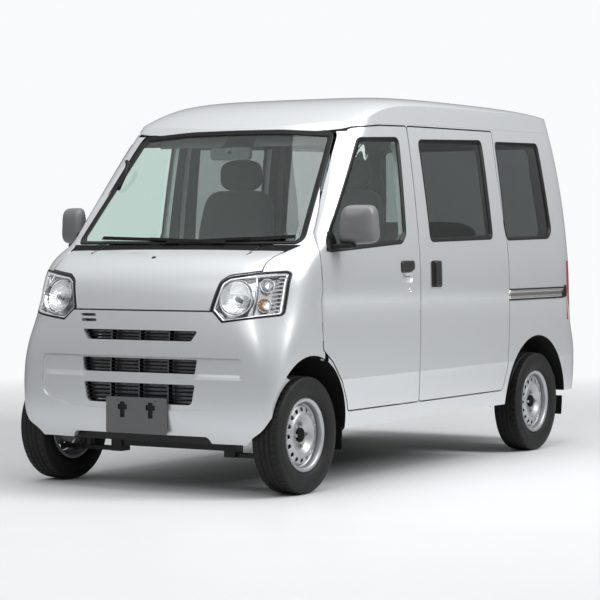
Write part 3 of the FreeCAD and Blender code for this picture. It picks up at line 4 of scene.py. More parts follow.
import bmesh
import bpy
import numpy as np
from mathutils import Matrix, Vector
from mathutils.bvhtree import BVHTree


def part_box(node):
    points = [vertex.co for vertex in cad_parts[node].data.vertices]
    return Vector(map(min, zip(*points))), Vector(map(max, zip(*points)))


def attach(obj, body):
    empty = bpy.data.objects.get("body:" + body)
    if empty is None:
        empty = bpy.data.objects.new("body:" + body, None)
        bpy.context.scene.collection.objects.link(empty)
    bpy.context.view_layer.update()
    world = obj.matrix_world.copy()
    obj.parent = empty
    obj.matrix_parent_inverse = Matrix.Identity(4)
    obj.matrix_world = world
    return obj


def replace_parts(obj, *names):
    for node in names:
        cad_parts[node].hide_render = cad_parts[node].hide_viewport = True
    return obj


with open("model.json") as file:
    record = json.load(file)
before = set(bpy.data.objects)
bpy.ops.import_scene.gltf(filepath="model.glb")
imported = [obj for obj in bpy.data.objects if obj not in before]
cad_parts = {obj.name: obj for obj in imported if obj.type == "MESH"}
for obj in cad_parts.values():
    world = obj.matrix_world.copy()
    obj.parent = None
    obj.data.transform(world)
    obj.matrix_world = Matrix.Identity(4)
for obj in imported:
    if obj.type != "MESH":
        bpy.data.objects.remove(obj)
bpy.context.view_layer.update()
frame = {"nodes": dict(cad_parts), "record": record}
NODES = frame["nodes"]
BODY_OF = {node: body for body, nodes in frame["record"]["behaviour"]["bodies"].items() for node in nodes}


def pair(*names):
    """The left and the right node of each name."""
    return tuple(f"{name}_{side}" for name in names for side in ("left", "right"))


# Sizes in metres, worked out from the frame where it gives them: X is the van's left, Y its rear, Z up.
TYRES = pair("tyre_front", "tyre_rear")
RIMS = pair("rim_front", "rim_rear")
TYRE_LOW, TYRE_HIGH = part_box("tyre_front_left")
TYRE_RADIUS = (TYRE_HIGH.z - TYRE_LOW.z) / 2
TYRE_HALF = (TYRE_HIGH.x - TYRE_LOW.x) / 2
RIM_LOW, RIM_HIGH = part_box("rim_front_left")
RIM_RADIUS = (RIM_HIGH.z - RIM_LOW.z) / 2
RIM_HALF = (RIM_HIGH.x - RIM_LOW.x) / 2
GLASS_SINK = 0.008
FULL_TURN = 2 * math.pi
POLE = 1e-5


# Shader helpers

class Value:
    """A socket that can be written in sums: each operator adds the math node it stands for."""

    def __init__(self, tree, socket):
        self.tree = tree
        self.socket = socket

    def math(self, operation, *others, clamp=False):
        made = self.tree.nodes.new("ShaderNodeMath")
        made.operation = operation
        made.use_clamp = clamp
        for slot, item in zip(made.inputs, (self,) + others):
            if isinstance(item, Value):
                self.tree.links.new(item.socket, slot)
            else:
                slot.default_value = item
        return Value(self.tree, made.outputs[0])

    def __add__(self, other):
        return self.math("ADD", other)

    def __mul__(self, other):
        return self.math("MULTIPLY", other)

    def __sub__(self, other):
        return self.math("SUBTRACT", other)

    def __rsub__(self, other):
        return (self * -1.0).math("ADD", other)

    def __truediv__(self, other):
        return self.math("DIVIDE", other)

    def __abs__(self):
        return self.math("ABSOLUTE")

    __radd__ = __add__
    __rmul__ = __mul__

    def over(self, low, high):
        """0 below the low value, 1 above the high one, straight between them."""
        return ((self - low) / (high - low)).math("ADD", 0.0, clamp=True)

    def band(self, low, high, fade):
        """1 between two values, falling to 0 over the fade outside."""
        return self.over(low, low + fade) * (1.0 - self.over(high, high + fade))

    def sine(self, wave):
        """A sine that repeats once a wavelength."""
        return (self * (FULL_TURN / wave)).math("SINE")


class Nodes:
    """A node tree, with one method that makes any node but the math nodes, which come from sums of Values."""

    def __init__(self, tree):
        self.tree = tree

    def node(self, kind, settings=(), **inputs):
        """Any node, with its settings and its inputs; an input is a constant or a Value."""
        made = self.tree.nodes.new(kind)
        for key, value in dict(settings).items():
            setattr(made, key, value)
        for key, value in inputs.items():
            slot = made.inputs[key]
            if isinstance(value, Value):
                self.tree.links.new(value.socket, slot)
            else:
                slot.default_value = value
        return made

    def value(self, made, output):
        return Value(self.tree, made.outputs[output])

    def point(self, kind="Object"):
        return self.value(self.node("ShaderNodeTexCoord"), kind)

    def parts(self, point):
        """A vector's x, y and z."""
        made = self.node("ShaderNodeSeparateXYZ", Vector=point)
        return [self.value(made, i) for i in range(3)]

    def noise(self, point, scale, detail=2.0):
        return self.value(self.node("ShaderNodeTexNoise", Vector=point, Scale=scale, Detail=detail), "Fac")

    def blend(self, share, first, second):
        """A colour between two; each is a constant or a Value."""
        ends = [end if isinstance(end, Value) else (*end, 1.0) for end in (first, second)]
        made = self.node("ShaderNodeMix", {"data_type": "RGBA"}, Factor=share, A=ends[0], B=ends[1])
        return self.value(made, "Result")


class Finish(Nodes):
    """One material: a Principled shader with constants on its sockets, and room for a few patterns."""

    def __init__(self, name, colour, rough, **more):
        self.material = bpy.data.materials.new(name)
        self.material.use_nodes = True
        super().__init__(self.material.node_tree)
        self.shader = self.tree.nodes["Principled BSDF"]
        self.shader.inputs["Base Color"].default_value = (*colour, 1.0)
        self.shader.inputs["Roughness"].default_value = rough
        for key, value in more.items():
            socket = key.replace("_", " ").title().replace("Ior", "IOR")
            self.shader.inputs[socket].default_value = value

    def plug(self, name, value):
        self.tree.links.new(value.socket, self.shader.inputs[name])

    def bump(self, height):
        """Relief from a height in metres."""
        made = self.node("ShaderNodeBump", Height=height, Distance=1.0, Strength=1.0)
        self.plug("Normal", self.value(made, "Normal"))


# Materials

BELT_LINE, SILL_LINE, SHELF_LINE = 0.852, 0.504, 0.536
SIDE_FROM, SIDE_FULL = 0.64, 0.70
NOSE_END = -1.36
TAIL_FACE = 1.545
AMBER_LOW, AMBER_HIGH = 0.820, 0.884
CLEAR_LOW, CLEAR_HIGH = 0.752, 0.816
SCOOP_MIDDLE, SCOOP_HALF = (-0.453, 0.968), (0.056, 0.034)
RAIL_GROOVE_LOW, RAIL_GROOVE_HIGH = 0.848, 0.868


def crease(along, at, fade):
    """A sharp ridge of height 1 whose two sides fall away like exp(-distance / fade)."""
    return (abs(along - at) * (-1.0 / fade)).math("EXPONENT")


def body_paint(name):
    return Finish(name, (0.74, 0.76, 0.785), 0.34, metallic=0.42, coat_weight=1.0, coat_roughness=0.04)


def paint_finish():
    """Silver white metallic paint under clear coat, with fine flakes and soft creases on sides and nose.

    The sides' two creases fade in where the body is wide enough and behind the nose. The bumper's shelf is a
    ridge that falls straight away over 12 mm, kept to the corners beside the grille.
    """
    paint = body_paint("silver_white_paint")
    point = paint.point()
    x, y, z = paint.parts(point)
    belt = crease(z, BELT_LINE, 0.060) * -0.0200
    sill = crease(z, SILL_LINE, 0.045) * 0.0066
    on_side = abs(x).over(SIDE_FROM, SIDE_FULL)
    behind_nose = (y - NOSE_END).over(0.0, 0.12)
    corners = (-1.55 - y).over(0.0, 0.05) * abs(x).over(0.30, 0.33) * (1.0 - abs(x).over(0.53, 0.55))
    shelf = (1.0 - (abs(z - SHELF_LINE) / 0.012).math("ADD", 0.0, clamp=True)) * corners * 0.004
    orange_peel = paint.noise(point, 60.0, 0.0) * 0.00005
    paint.bump((belt + sill) * on_side * behind_nose + shelf + orange_peel)
    paint.plug("Roughness", 0.31 + paint.noise(point, 900.0) * 0.08)
    return paint.material


def grained(name, colour, rough, grain, height, patches, spread, detail=2.0, **more):
    """A plain finish: a fine grain in height, and patches whose roughness lies up to 'spread' either way."""
    finish = Finish(name, colour, rough, **more)
    point = finish.point()
    finish.bump(finish.noise(point, grain, detail) * height)
    finish.plug("Roughness", rough - spread + finish.noise(point, patches) * (2 * spread))
    return finish.material


def plastic_finish(name, colour, rough, height=0.00006, shine=0.5):
    return grained(name, colour, rough, 700.0, height, 40.0, 0.06, specular_ior_level=shine)


def rubber_finish(name, colour, rough, shine=0.35):
    return grained(name, colour, rough, 420.0, 0.00012, 25.0, 0.08, detail=4.0, specular_ior_level=shine)


def steel_finish(name, colour, rough, metal):
    return grained(name, colour, rough, 500.0, 0.00003, 30.0, 0.05, metallic=metal)


def glass_finish(name, colour):
    glass = Finish(name, colour, 0.0, ior=1.45, transmission_weight=1.0, specular_ior_level=0.5)
    glass.plug("Roughness", glass.noise(glass.point(), 3.0) * 0.006)
    return glass.material


def cloth_finish(name, colour, thread=0.0016):
    """Woven seat cloth: two crossed sets of threads in height, mottled in colour."""
    cloth = Finish(name, colour, 0.9, sheen_weight=0.25)
    point = cloth.point()
    x, y, z = cloth.parts(point)
    weave = x.sine(thread) * (z + y * 0.6).sine(thread)
    cloth.bump(weave * 0.00018 + cloth.noise(point, 300.0) * 0.0001)
    mottle = cloth.noise(point, 120.0, 4.0).over(0.35, 0.7)
    cloth.plug("Base Color", cloth.blend(mottle, colour, tuple(c * 1.5 for c in colour)))
    return cloth.material


def tail_lens_finish():
    """The tail lamp's lens: red, ribbed inside, with amber and clear bands on its rear face."""
    lens = Finish("tail_lens", (0.5, 0.01, 0.01), 0.06, coat_weight=1.0, coat_roughness=0.02)
    y, z = lens.parts(lens.point())[1:]
    rear_face = y.over(TAIL_FACE, TAIL_FACE + 0.001)
    amber = z.band(AMBER_LOW, AMBER_HIGH, 0.002) * rear_face
    clear = z.band(CLEAR_LOW, CLEAR_HIGH, 0.002) * rear_face
    red_or_amber = lens.blend(amber, (0.5, 0.008, 0.01), (0.72, 0.17, 0.01))
    lens.plug("Base Color", lens.blend(clear, red_or_amber, (0.7, 0.7, 0.7)))
    lens.bump(z.sine(0.006) * 0.0002)
    return lens.material


def scoop_finish():
    """Paint on the finger scoop under the door handle: its height falls towards the middle like a bowl."""
    paint = body_paint("scoop_paint")
    y, z = paint.parts(paint.point())[1:]
    across, up = [(part - at) / half for part, at, half in zip((y, z), SCOOP_MIDDLE, SCOOP_HALF)]
    bowl = (across * across + up * up).math("MINIMUM", 1.0)
    paint.bump(bowl * 0.016)
    paint.plug("Roughness", 0.30 + bowl * 0.08)
    return paint.material


def rail_finish():
    """Bright anodised channel, patchy in gloss, with painted shade darkening its colour down in the groove.
    """
    rail = Finish("rail_bright", (0.62, 0.61, 0.59), 0.3, metallic=0.9)
    point = rail.point()
    groove = rail.parts(point)[2].band(RAIL_GROOVE_LOW, RAIL_GROOVE_HIGH, 0.004)
    # Painted shade: the channel's colour darkens in the recessed groove.
    rail.plug("Base Color", rail.blend(groove, (0.80, 0.80, 0.79), (0.30, 0.295, 0.28)))
    rail.plug("Roughness", 0.22 + groove * 0.2 + rail.noise(point, 60.0) * 0.08)
    return rail.material


PAINT = paint_finish()
SCOOP = scoop_finish()
RAIL = rail_finish()
BLACK = plastic_finish("black_plastic", (0.010, 0.010, 0.011), 0.5, shine=0.3)
GRILLE = plastic_finish("grille_black", (0.006, 0.006, 0.007), 0.65, shine=0.12)
HANDLE = plastic_finish("handle_black", (0.030, 0.030, 0.031), 0.36)
CUP_RIM = plastic_finish("cup_rim", (0.42, 0.43, 0.44), 0.3)
# Painted highlight: a lighter grey for the fronts of the grille's black uprights.
UPRIGHT_HIGHLIGHT = plastic_finish("grille_upright_highlight", (0.10, 0.10, 0.105), 0.5)
GREY = plastic_finish("grey_plastic", (0.142, 0.144, 0.150), 0.48)
MIRROR_GREY = plastic_finish("mirror_grey", (0.20, 0.202, 0.208), 0.34)
DASH = plastic_finish("dash_grey", (0.13, 0.132, 0.138), 0.6, 0.00012)
SEAL = rubber_finish("window_rubber", (0.008, 0.008, 0.008), 0.42)
TYRE = rubber_finish("tyre_rubber", (0.013, 0.013, 0.0135), 0.60, 0.28)
MAT = rubber_finish("floor_vinyl", (0.045, 0.045, 0.047), 0.75)
CLEAR = glass_finish("tinted_glass", (0.80, 0.90, 0.86))
SIDE_CLEAR = glass_finish("door_glass", (0.72, 0.82, 0.78))
DARK = glass_finish("privacy_glass", (0.25, 0.265, 0.265))
LENS = glass_finish("lamp_lens", (0.97, 0.98, 0.98))
WHEEL = steel_finish("wheel_silver", (0.48, 0.49, 0.51), 0.42, 0.7)
CHROME = steel_finish("chrome", (0.74, 0.75, 0.76), 0.10, 1.0)
BOWL = steel_finish("lamp_bowl", (0.60, 0.61, 0.62), 0.20, 0.95)
STEEL = steel_finish("dull_steel", (0.36, 0.36, 0.37), 0.45, 0.9)
CHASSIS = steel_finish("chassis_black", (0.02, 0.02, 0.021), 0.5, 0.0)
ENGINE = steel_finish("engine_grey", (0.16, 0.16, 0.16), 0.6, 0.3)
CLOTH = cloth_finish("seat_cloth", (0.055, 0.057, 0.062))
LINING = plastic_finish("cabin_lining", (0.10, 0.10, 0.104), 0.85)
RED = tail_lens_finish()
AMBER = Finish("amber_lens", (0.95, 0.35, 0.03), 0.1, coat_weight=1.0).material
BULB = Finish("bulb_glass", (0.9, 0.9, 0.9), 0.05, coat_weight=1.0).material


# Mesh helpers

def piece(name, points, faces, material, body, smooth=True):
    """A finished piece from its points and four-cornered faces, riding on a CAD body."""
    mesh = bpy.data.meshes.new(name)
    points = np.asarray(points, np.float32).reshape(-1, 3)
    faces = np.asarray(faces, np.int32).reshape(-1, 4)
    mesh.vertices.add(len(points))
    mesh.vertices.foreach_set("co", points.ravel())
    mesh.loops.add(faces.size)
    mesh.loops.foreach_set("vertex_index", faces.ravel())
    mesh.polygons.add(len(faces))
    mesh.polygons.foreach_set("loop_start", np.arange(0, faces.size, 4, dtype=np.int32))
    mesh.polygons.foreach_set("use_smooth", np.full(len(faces), smooth))
    mesh.update(calc_edges=True)
    mesh.validate()
    mesh.materials.append(material)
    obj = bpy.data.objects.new(name, mesh)
    bpy.context.collection.objects.link(obj)
    outward(mesh)
    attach(obj, body)
    return obj


def outward(mesh):
    """Weld doubled points and turn every face outwards."""
    work = bmesh.new()
    work.from_mesh(mesh)
    bmesh.ops.remove_doubles(work, verts=work.verts, dist=1e-6)
    bmesh.ops.recalc_face_normals(work, faces=work.faces)
    work.to_mesh(mesh)
    work.free()


def both_sides(name, points, faces, material, body="root", smooth=True):
    """A piece on the van's left, given there, and its mirror image on the right."""
    made = []
    for side, out in (("left", 1.0), ("right", -1.0)):
        spots = np.asarray(points) * np.array([out, 1.0, 1.0])
        made.append(piece(f"{name}_{side}", spots, faces, material, body.replace("left", side), smooth))
    return made


def grid_faces(rows, columns, wrap_rows=False, wrap_columns=False):
    """The four-cornered faces of a grid of points, closed round either way where asked."""
    row = np.arange(rows if wrap_rows else rows - 1)[:, None]
    column = np.arange(columns if wrap_columns else columns - 1)[None, :]
    next_row, next_column = (row + 1) % rows, (column + 1) % columns
    corners = [row * columns + column, row * columns + next_column, next_row * columns + next_column]
    corners.append(next_row * columns + column)
    return np.stack([np.broadcast_to(c, (len(row), column.shape[1])) for c in corners], -1).reshape(-1, 4)


def joined(*parts):
    """Several (points, faces) pairs as one."""
    points, faces, start = [], [], 0
    for some, those in parts:
        some = np.asarray(some).reshape(-1, 3)
        points.append(some)
        faces.append(np.asarray(those) + start)
        start += len(some)
    return np.concatenate(points), np.concatenate(faces)


def full_turn(steps):
    """Even angles once round, without the last one that would repeat the first."""
    return np.linspace(0, FULL_TURN, steps, endpoint=False)


def unit(vectors):
    """Vectors scaled to length 1."""
    return vectors / np.linalg.norm(vectors, axis=-1, keepdims=True)


def signed_power(values, power):
    """A power that keeps the sign: below 1 it squares a circle's sine and cosine off."""
    return np.sign(values) * np.abs(values) ** power


def smooth_step(values, low, high):
    """0 to 1 between two values, level at both ends: share squared times (3 - 2 share)."""
    share = np.clip((values - low) / (high - low), 0, 1)
    return share * share * (3 - 2 * share)


def evenly(run, step, least, closed=True):
    """Points evenly spaced along a run of points, about a step apart and never fewer than the least."""
    run = np.vstack([run, run[:1]]) if closed else run
    along = np.concatenate([[0], np.cumsum(np.linalg.norm(np.diff(run, axis=0), axis=1))])
    spots = np.linspace(0, along[-1], max(least, int(along[-1] / step)), endpoint=not closed)
    return np.stack([np.interp(spots, along, column) for column in run.T], -1)


def rounded(points, step=0.006):
    """A closed (u, v) outline with each corner (u, v, radius) replaced by its arc, evenly spaced.

    The arc's centre lies on the corner's bisector, radius / sin(half angle) away.
    """
    run = []
    for i, (u, v, radius) in enumerate(points):
        corner = np.array([u, v])
        before = unit(np.array(points[i - 1][:2]) - corner)
        after = unit(np.array(points[(i + 1) % len(points)][:2]) - corner)
        half = math.acos(np.clip(before @ after, -1, 1)) / 2
        centre = corner + unit(before + after) * radius / math.sin(half)
        start = corner + before * radius / math.tan(half) - centre
        stop = corner + after * radius / math.tan(half) - centre
        share = np.linspace(0, 1, 13)[:, None]
        angle = math.acos(np.clip(start @ stop / radius ** 2, -1, 1))
        arc = start * np.sin((1 - share) * angle) + stop * np.sin(share * angle)
        run.append(centre + arc / math.sin(angle))
    return evenly(np.concatenate(run), step, 24)


def rounded_box(along, up, radii, step=0.006):
    """A box's rounded outline from its (low, high) sides; the radii run from the lower front corner."""
    corners = ((along[0], up[0]), (along[1], up[0]), (along[1], up[1]), (along[0], up[1]))
    return rounded([(u, v, radius) for (u, v), radius in zip(corners, np.broadcast_to(radii, 4))], step)


def shrunk(outline, by):
    """An evenly spaced outline moved inwards along its own normals."""
    along = np.roll(outline, -1, 0) - np.roll(outline, 1, 0)
    return outline + unit(np.stack([-along[:, 1], along[:, 0]], -1)) * by


def node_points(node, keep=None):
    """A CAD node's points as an array, or those of them that a test keeps."""
    mesh = NODES[node].data
    points = np.empty(len(mesh.vertices) * 3, np.float32)
    mesh.vertices.foreach_get("co", points)
    points = points.reshape(-1, 3).astype(float)
    return points if keep is None else points[keep(points)]


def pane_outline(points, axes, step=0.008):
    """The outline of a pane seen along one axis: the furthest points in all directions, evenly spaced."""
    flat = points[:, axes]
    angle = full_turn(1440)
    edge = flat[np.argmax(flat @ np.stack([np.cos(angle), np.sin(angle)]), axis=0)]
    edge = edge[np.linalg.norm(edge - np.roll(edge, 1, 0), axis=1) > 1e-6]
    return evenly(edge, step, 24)


class Skin:
    """The outer surface of some CAD nodes, for laying pieces on it."""

    def __init__(self, *nodes):
        points, faces, start = [], [], 0
        for node in nodes:
            mesh = NODES[node].data
            corners = np.empty(len(mesh.loops), np.int32)
            mesh.loops.foreach_get("vertex_index", corners)
            points.append(node_points(node))
            faces.append(corners.reshape(-1, 3) + start)
            start += len(mesh.vertices)
        self.tree = BVHTree.FromPolygons(np.concatenate(points).tolist(), np.concatenate(faces).tolist())

    def cast(self, origins, direction):
        """Where rays meet the surface, and its outward normals there; a miss takes its neighbour's hit."""
        direction = Vector(direction)
        hits = [self.tree.ray_cast(Vector(o), direction) for o in origins]
        last = next(hit for hit in hits if hit[0] is not None)
        spots, normals = [], []
        for hit in hits:
            last = hit if hit[0] is not None else last
            normal = last[1] if last[1].dot(direction) < 0 else -last[1]
            spots.append(last[0])
            normals.append(normal)
        return np.array(spots), np.array(normals)

    def side(self, outline):
        """An (along, up) outline on the van's left side."""
        return self.cast(np.column_stack([np.full(len(outline), 1.2), outline]), (-1, 0, 0))

    def front(self, outline, sign=-1):
        """An (across, up) outline on the nose, or on the tail with sign 1."""
        origins = np.column_stack([outline[:, 0], np.full(len(outline), 3.0 * sign), outline[:, 1]])
        return self.cast(origins, (0, -sign, 0))


def smooth_ring(values, times):
    """A closed run of vectors, each averaged with its neighbours."""
    for _ in range(times):
        values = (np.roll(values, 1, 0) + 2 * values + np.roll(values, -1, 0)) / 4
    return values


def rubber_strip(spots, normals, profile):
    """A closed strip: the profile's (out of the window, off the skin) points carried along the outline."""
    spots, normals = smooth_ring(spots, 2), unit(smooth_ring(normals, 6))
    out = np.cross(unit(np.roll(spots, -1, 0) - np.roll(spots, 1, 0)), normals)
    if np.sum(out * (spots - spots.mean(0))) < 0:
        out = -out
    profile = np.asarray(profile)
    points = spots[:, None] + out[:, None] * profile[None, :, :1] + normals[:, None] * profile[None, :, 1:]
    return points, grid_faces(len(spots), len(profile), wrap_rows=True, wrap_columns=True)


def plate_rings(skin, outline, profile, filled=True):
    """A low plate on the left side's skin: (inset, height) rings from its foot in, filled to its middle."""
    rings = []
    for inset, height in profile:
        spots, normals = skin.side(shrunk(outline, inset) if inset else outline)
        rings.append(smooth_ring(spots, 1) + smooth_ring(normals, 8) * height)
    if filled:
        rings.append(np.broadcast_to(rings[-1].mean(0), rings[-1].shape))
    return np.stack(rings), grid_faces(len(rings), len(outline), wrap_columns=True)


def lathe(section, origin, axis, segments=48):
    """A section of (along, radius) points turned round an axis: each runs along the axis and out from it."""
    axis = unit(np.asarray(axis, float))
    first = unit(np.cross(axis, [0.0, 0.0, 1.0] if abs(axis[2]) < 0.9 else [1.0, 0.0, 0.0]))
    second = np.cross(axis, first)
    section = np.asarray(section)
    turn = full_turn(segments)[:, None, None]
    out = first * np.cos(turn) + second * np.sin(turn)
    points = np.asarray(origin) + axis * section[None, :, :1] + out * section[None, :, 1:]
    return points, grid_faces(segments, len(section), wrap_rows=True)


def tube(path, radius, sides=12, step=0.004):
    """A round tube along a smoothed path, with closed ends."""
    line = evenly(np.asarray(path, float), step, 8, closed=False)
    for _ in range(4):
        line[1:-1] = (line[:-2] + 2 * line[1:-1] + line[2:]) / 4
    tangent = unit(np.gradient(line, axis=0))
    side = unit(np.cross(tangent, [0.31, 0.45, 0.84]))
    up = np.cross(tangent, side)
    turn = full_turn(sides)[:, None]
    size = np.full(len(line), radius)
    size[[0, -1]] = POLE
    ring = side[:, None] * np.cos(turn) + up[:, None] * np.sin(turn)
    return line[:, None] + ring * size[:, None, None], grid_faces(len(line), sides, wrap_columns=True)


def capped(points):
    """A grid of sections with both end sections drawn together to their middles."""
    count = points.shape[1]
    ends = [points[i:i + 1].mean(1, keepdims=True).repeat(count, 1) for i in (0, len(points) - 1)]
    points = np.concatenate([ends[0], points, ends[1]])
    return points, grid_faces(len(points), count, wrap_columns=True)


# Window rubbers

def lip(inside, outside, height):
    """A rubber's (out of the pane, off the glass) section: a soft ridge that laps over the panel's edge."""
    return [(-inside, -0.001), (-inside, 0.0012), (-inside * 0.6, 0.0035), (0.0, height + 0.0012),
            (outside * 0.6, height + 0.0022), (outside, height + 0.0004), (outside, height - 0.004)]


RUBBER_INSET = 0.004
QUARTER_FROM = 0.58


def side_rubbers():
    for name, node, front, rear, inside, body in (
        ("front_window_rubber", "door_glass_left", -2.0, QUARTER_FROM, 0.015, "front_door_left"),
        ("sliding_window_rubber", "side_glass", -2.0, QUARTER_FROM, 0.016, "root"),
        ("quarter_window_rubber", "side_glass", QUARTER_FROM, 2.0, 0.012, "root"),
    ):
        pane = node_points(node, lambda p: (p[:, 0] > 0) & (p[:, 1] > front) & (p[:, 1] < rear))
        outline = shrunk(pane_outline(pane, [1, 2]), RUBBER_INSET)
        points, faces = rubber_strip(*Skin(node).side(outline), lip(inside, 0.008, GLASS_SINK))
        both_sides(name, points, faces, SEAL, body)


def end_rubbers():
    for name, node, body, sign, section in (
        ("windscreen_rubber", "windscreen", "root", -1, lip(0.024, 0.006, 0.004)),
        ("tailgate_window_rubber", "tailgate_glass", "tailgate", 1, lip(0.016, 0.008, GLASS_SINK)),
    ):
        outline = shrunk(pane_outline(node_points(node), [0, 2]), RUBBER_INSET)
        piece(name, *rubber_strip(*Skin(node).front(outline, sign), section), SEAL, body)


# Tyres

TYRE_STEPS = 432
TREAD_INSET = 0.017
TREAD_CROWN = 0.0045
SHOULDER_WIDTH, SHOULDER_DROP = 0.013, 0.020
GROOVES = (-0.026, 0.0, 0.026)
GROOVE_DEPTH, SLOT_DEPTH, SIPE_DEPTH = 0.0078, 0.0062, 0.0028
GROOVE_WAVE, GROOVE_EDGE = 0.0012, (0.0032, 0.0048)
RIB_EDGE, SHOULDER_FROM, SHOULDER_TO = (0.028, 0.033), (0.033, 0.036), (0.054, 0.058)
PITCHES = 54
WALL_RIBS, WALL_RIB_HALF, WALL_RIB_HEIGHT = (TYRE_RADIUS - 0.040, RIM_RADIUS + 0.016), 0.0022, 0.0016


def tyre_section():
    """A tyre's closed section as (across, radius): tread crown, round shoulders, bulged walls and beads.

    The tread falls away with the square of the way across, a shoulder is a quarter of an ellipse, and a
    wall bulges by half a sine wave and narrows with the fourth power of its way down to the rim.
    """
    edge = TYRE_HALF - TREAD_INSET
    across = np.linspace(-1, 1, 49) * edge
    tread = np.stack([across, TYRE_RADIUS - TREAD_CROWN * (across / TYRE_HALF) ** 2], -1)
    turn = np.linspace(0, math.pi / 2, 7)[1:]
    shoulder_top = tread[-1, 1] - SHOULDER_DROP
    shoulder = [edge + SHOULDER_WIDTH * np.sin(turn), shoulder_top + SHOULDER_DROP * np.cos(turn)]
    fall = np.linspace(0, 1, 28)[1:]
    low = RIM_RADIUS + 0.002
    widest = edge + SHOULDER_WIDTH
    bulge = widest + 0.004 * np.sin(math.pi * np.clip(fall * 1.15, 0, 1)) - 0.014 * fall ** 4
    wall = np.stack([bulge, shoulder_top + (low - shoulder_top) * fall], -1)
    right = np.vstack([np.stack(shoulder, -1), wall, [[TYRE_HALF - 0.024, low - 0.006]]])
    return np.vstack([right[::-1] * np.array([-1, 1]), tread, right])


def tread_depth(across, angle):
    """How deep the tread is cut: three wavy grooves round the tyre, sipes across the ribs and shoulders.

    A groove is a smooth trench round its middle; the shoulder slots and rib sipes repeat with the angle.
    """
    wave = GROOVE_WAVE * np.sin(angle * PITCHES)
    cut = np.zeros(np.broadcast(across, angle).shape)
    for middle in GROOVES:
        cut = np.maximum(cut, 1 - smooth_step(np.abs(across - middle - wave), *GROOVE_EDGE))
    on_shoulder = smooth_step(np.abs(across), *SHOULDER_FROM)
    on_shoulder = on_shoulder * (1 - smooth_step(np.abs(across), *SHOULDER_TO))
    slot = 1 - smooth_step(np.abs(np.sin(angle * PITCHES / 2 + across * 9)), 0.22, 0.36)
    sipe = 1 - smooth_step(np.abs(np.sin(angle * PITCHES + across * 60)), 0.16, 0.30)
    on_ribs = 1 - smooth_step(np.abs(across), *RIB_EDGE)
    return GROOVE_DEPTH * cut + (SLOT_DEPTH * slot * on_shoulder + SIPE_DEPTH * sipe * on_ribs) * (1 - cut)


def make_tyre(node):
    """The section turned round the axle, less the tread's depth, with a fine rib round each wall twice."""
    section = tyre_section()
    angle = full_turn(TYRE_STEPS)[:, None]
    across, height = section.T
    tread = tread_depth(across, angle) * smooth_step(height, TYRE_RADIUS - 0.022, TYRE_RADIUS - 0.008)
    radius = height - tread
    ribs = sum(np.exp(-((height - spot) / WALL_RIB_HALF) ** 2) for spot in WALL_RIBS)
    across = (across + np.sign(across) * WALL_RIB_HEIGHT * ribs) * np.ones_like(angle)
    points = np.stack([across, radius * np.cos(angle), radius * np.sin(angle)], -1)
    points += np.array(sum(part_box(node), Vector()) / 2)
    faces = grid_faces(len(angle), len(section), wrap_rows=True, wrap_columns=True)
    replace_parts(piece(node + "_tread", points, faces, TYRE, BODY_OF[node]), node)


# Seats: shares of a pad's half width, length or thickness

CROWN = 0.14
CROSS_SEAM = 0.45
SEAM_WIDTH, SEAM_DEPTH = 0.03, 0.10
BOLSTER_RUN, BOLSTER_RISE = 0.25, 0.12
PANEL_SEAM = 0.62


def seat_frame(node):
    """The middle, axes (across, along, through) and half sizes of a seat pad's CAD solid."""
    points = node_points(node)
    height = points[:, 2]
    spread = height.max() - height.min()
    low = points[height < height.min() + spread * 0.25].mean(0)
    high = points[height > height.max() - spread * 0.25].mean(0)
    upright = spread > 0.2
    along = unit(np.array([0, high[1] - low[1], high[2] - low[2]]) if upright else np.array([0.0, 1.0, 0.0]))
    across = np.array([1.0, 0, 0])
    axes = np.stack([across, along, np.cross(along, across)])
    local = points @ axes.T
    middle = (local.max(0) + local.min(0)) / 2
    return middle @ axes, axes, (local.max(0) - local.min(0)) / 2


def make_pad(node, square, taper=0.0, groove=None, face=1.0):
    """A stuffed pad: rings of rounded-square section along its length, closed by rounded ends.

    A ring is a superellipse; its size shrinks with the same law towards both ends, and the seat face is
    crowned and pressed in along the seams at 'groove' of the half width.
    """
    middle, axes, half = seat_frame(node)
    end = np.linspace(-math.pi / 2, math.pi / 2, 61)[:, None]
    turn = full_turn(120)[None, :]
    ring = np.abs(np.cos(end)) ** square
    v = signed_power(np.sin(end), square) * np.ones_like(turn)
    u = ring * signed_power(np.cos(turn), square) * (1 - taper * (v + 1) / 2)
    w = ring * signed_power(np.sin(turn), square) * (1 - CROWN + CROWN * (1 - u * u) * (1 - v * v))
    if groove:
        front = smooth_step(w * face, 0.3, 0.6)
        seam = np.exp(-((np.abs(u) - groove) / SEAM_WIDTH) ** 2)
        seam = seam + np.exp(-((v - CROSS_SEAM) / SEAM_WIDTH) ** 2) * (np.abs(u) < groove)
        bolster = smooth_step(np.abs(u), groove, groove + BOLSTER_RUN) * BOLSTER_RISE
        w = np.clip(w - face * front * (SEAM_DEPTH * seam - bolster), -1, 1)
    points = middle + np.stack([u * half[0], v * half[1], w * half[2]], -1) @ axes
    pad = piece(node + "_cover", points, grid_faces(*u.shape, wrap_columns=True), CLOTH, BODY_OF[node])
    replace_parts(pad, node)


def make_seats():
    for side in ("left", "right"):
        make_pad("seat_cushion_" + side, 0.32, groove=PANEL_SEAM, face=-1.0)
        make_pad("seat_back_" + side, 0.32, taper=0.16, groove=PANEL_SEAM)
        make_pad("headrest_" + side, 0.55, taper=0.12)
    make_pad("rear_seat_cushion", 0.24)
    make_pad("rear_seat_back", 0.24)


side_rubbers()
end_rubbers()
for name in TYRES:
    make_tyre(name)
make_seats()


# Headlamps

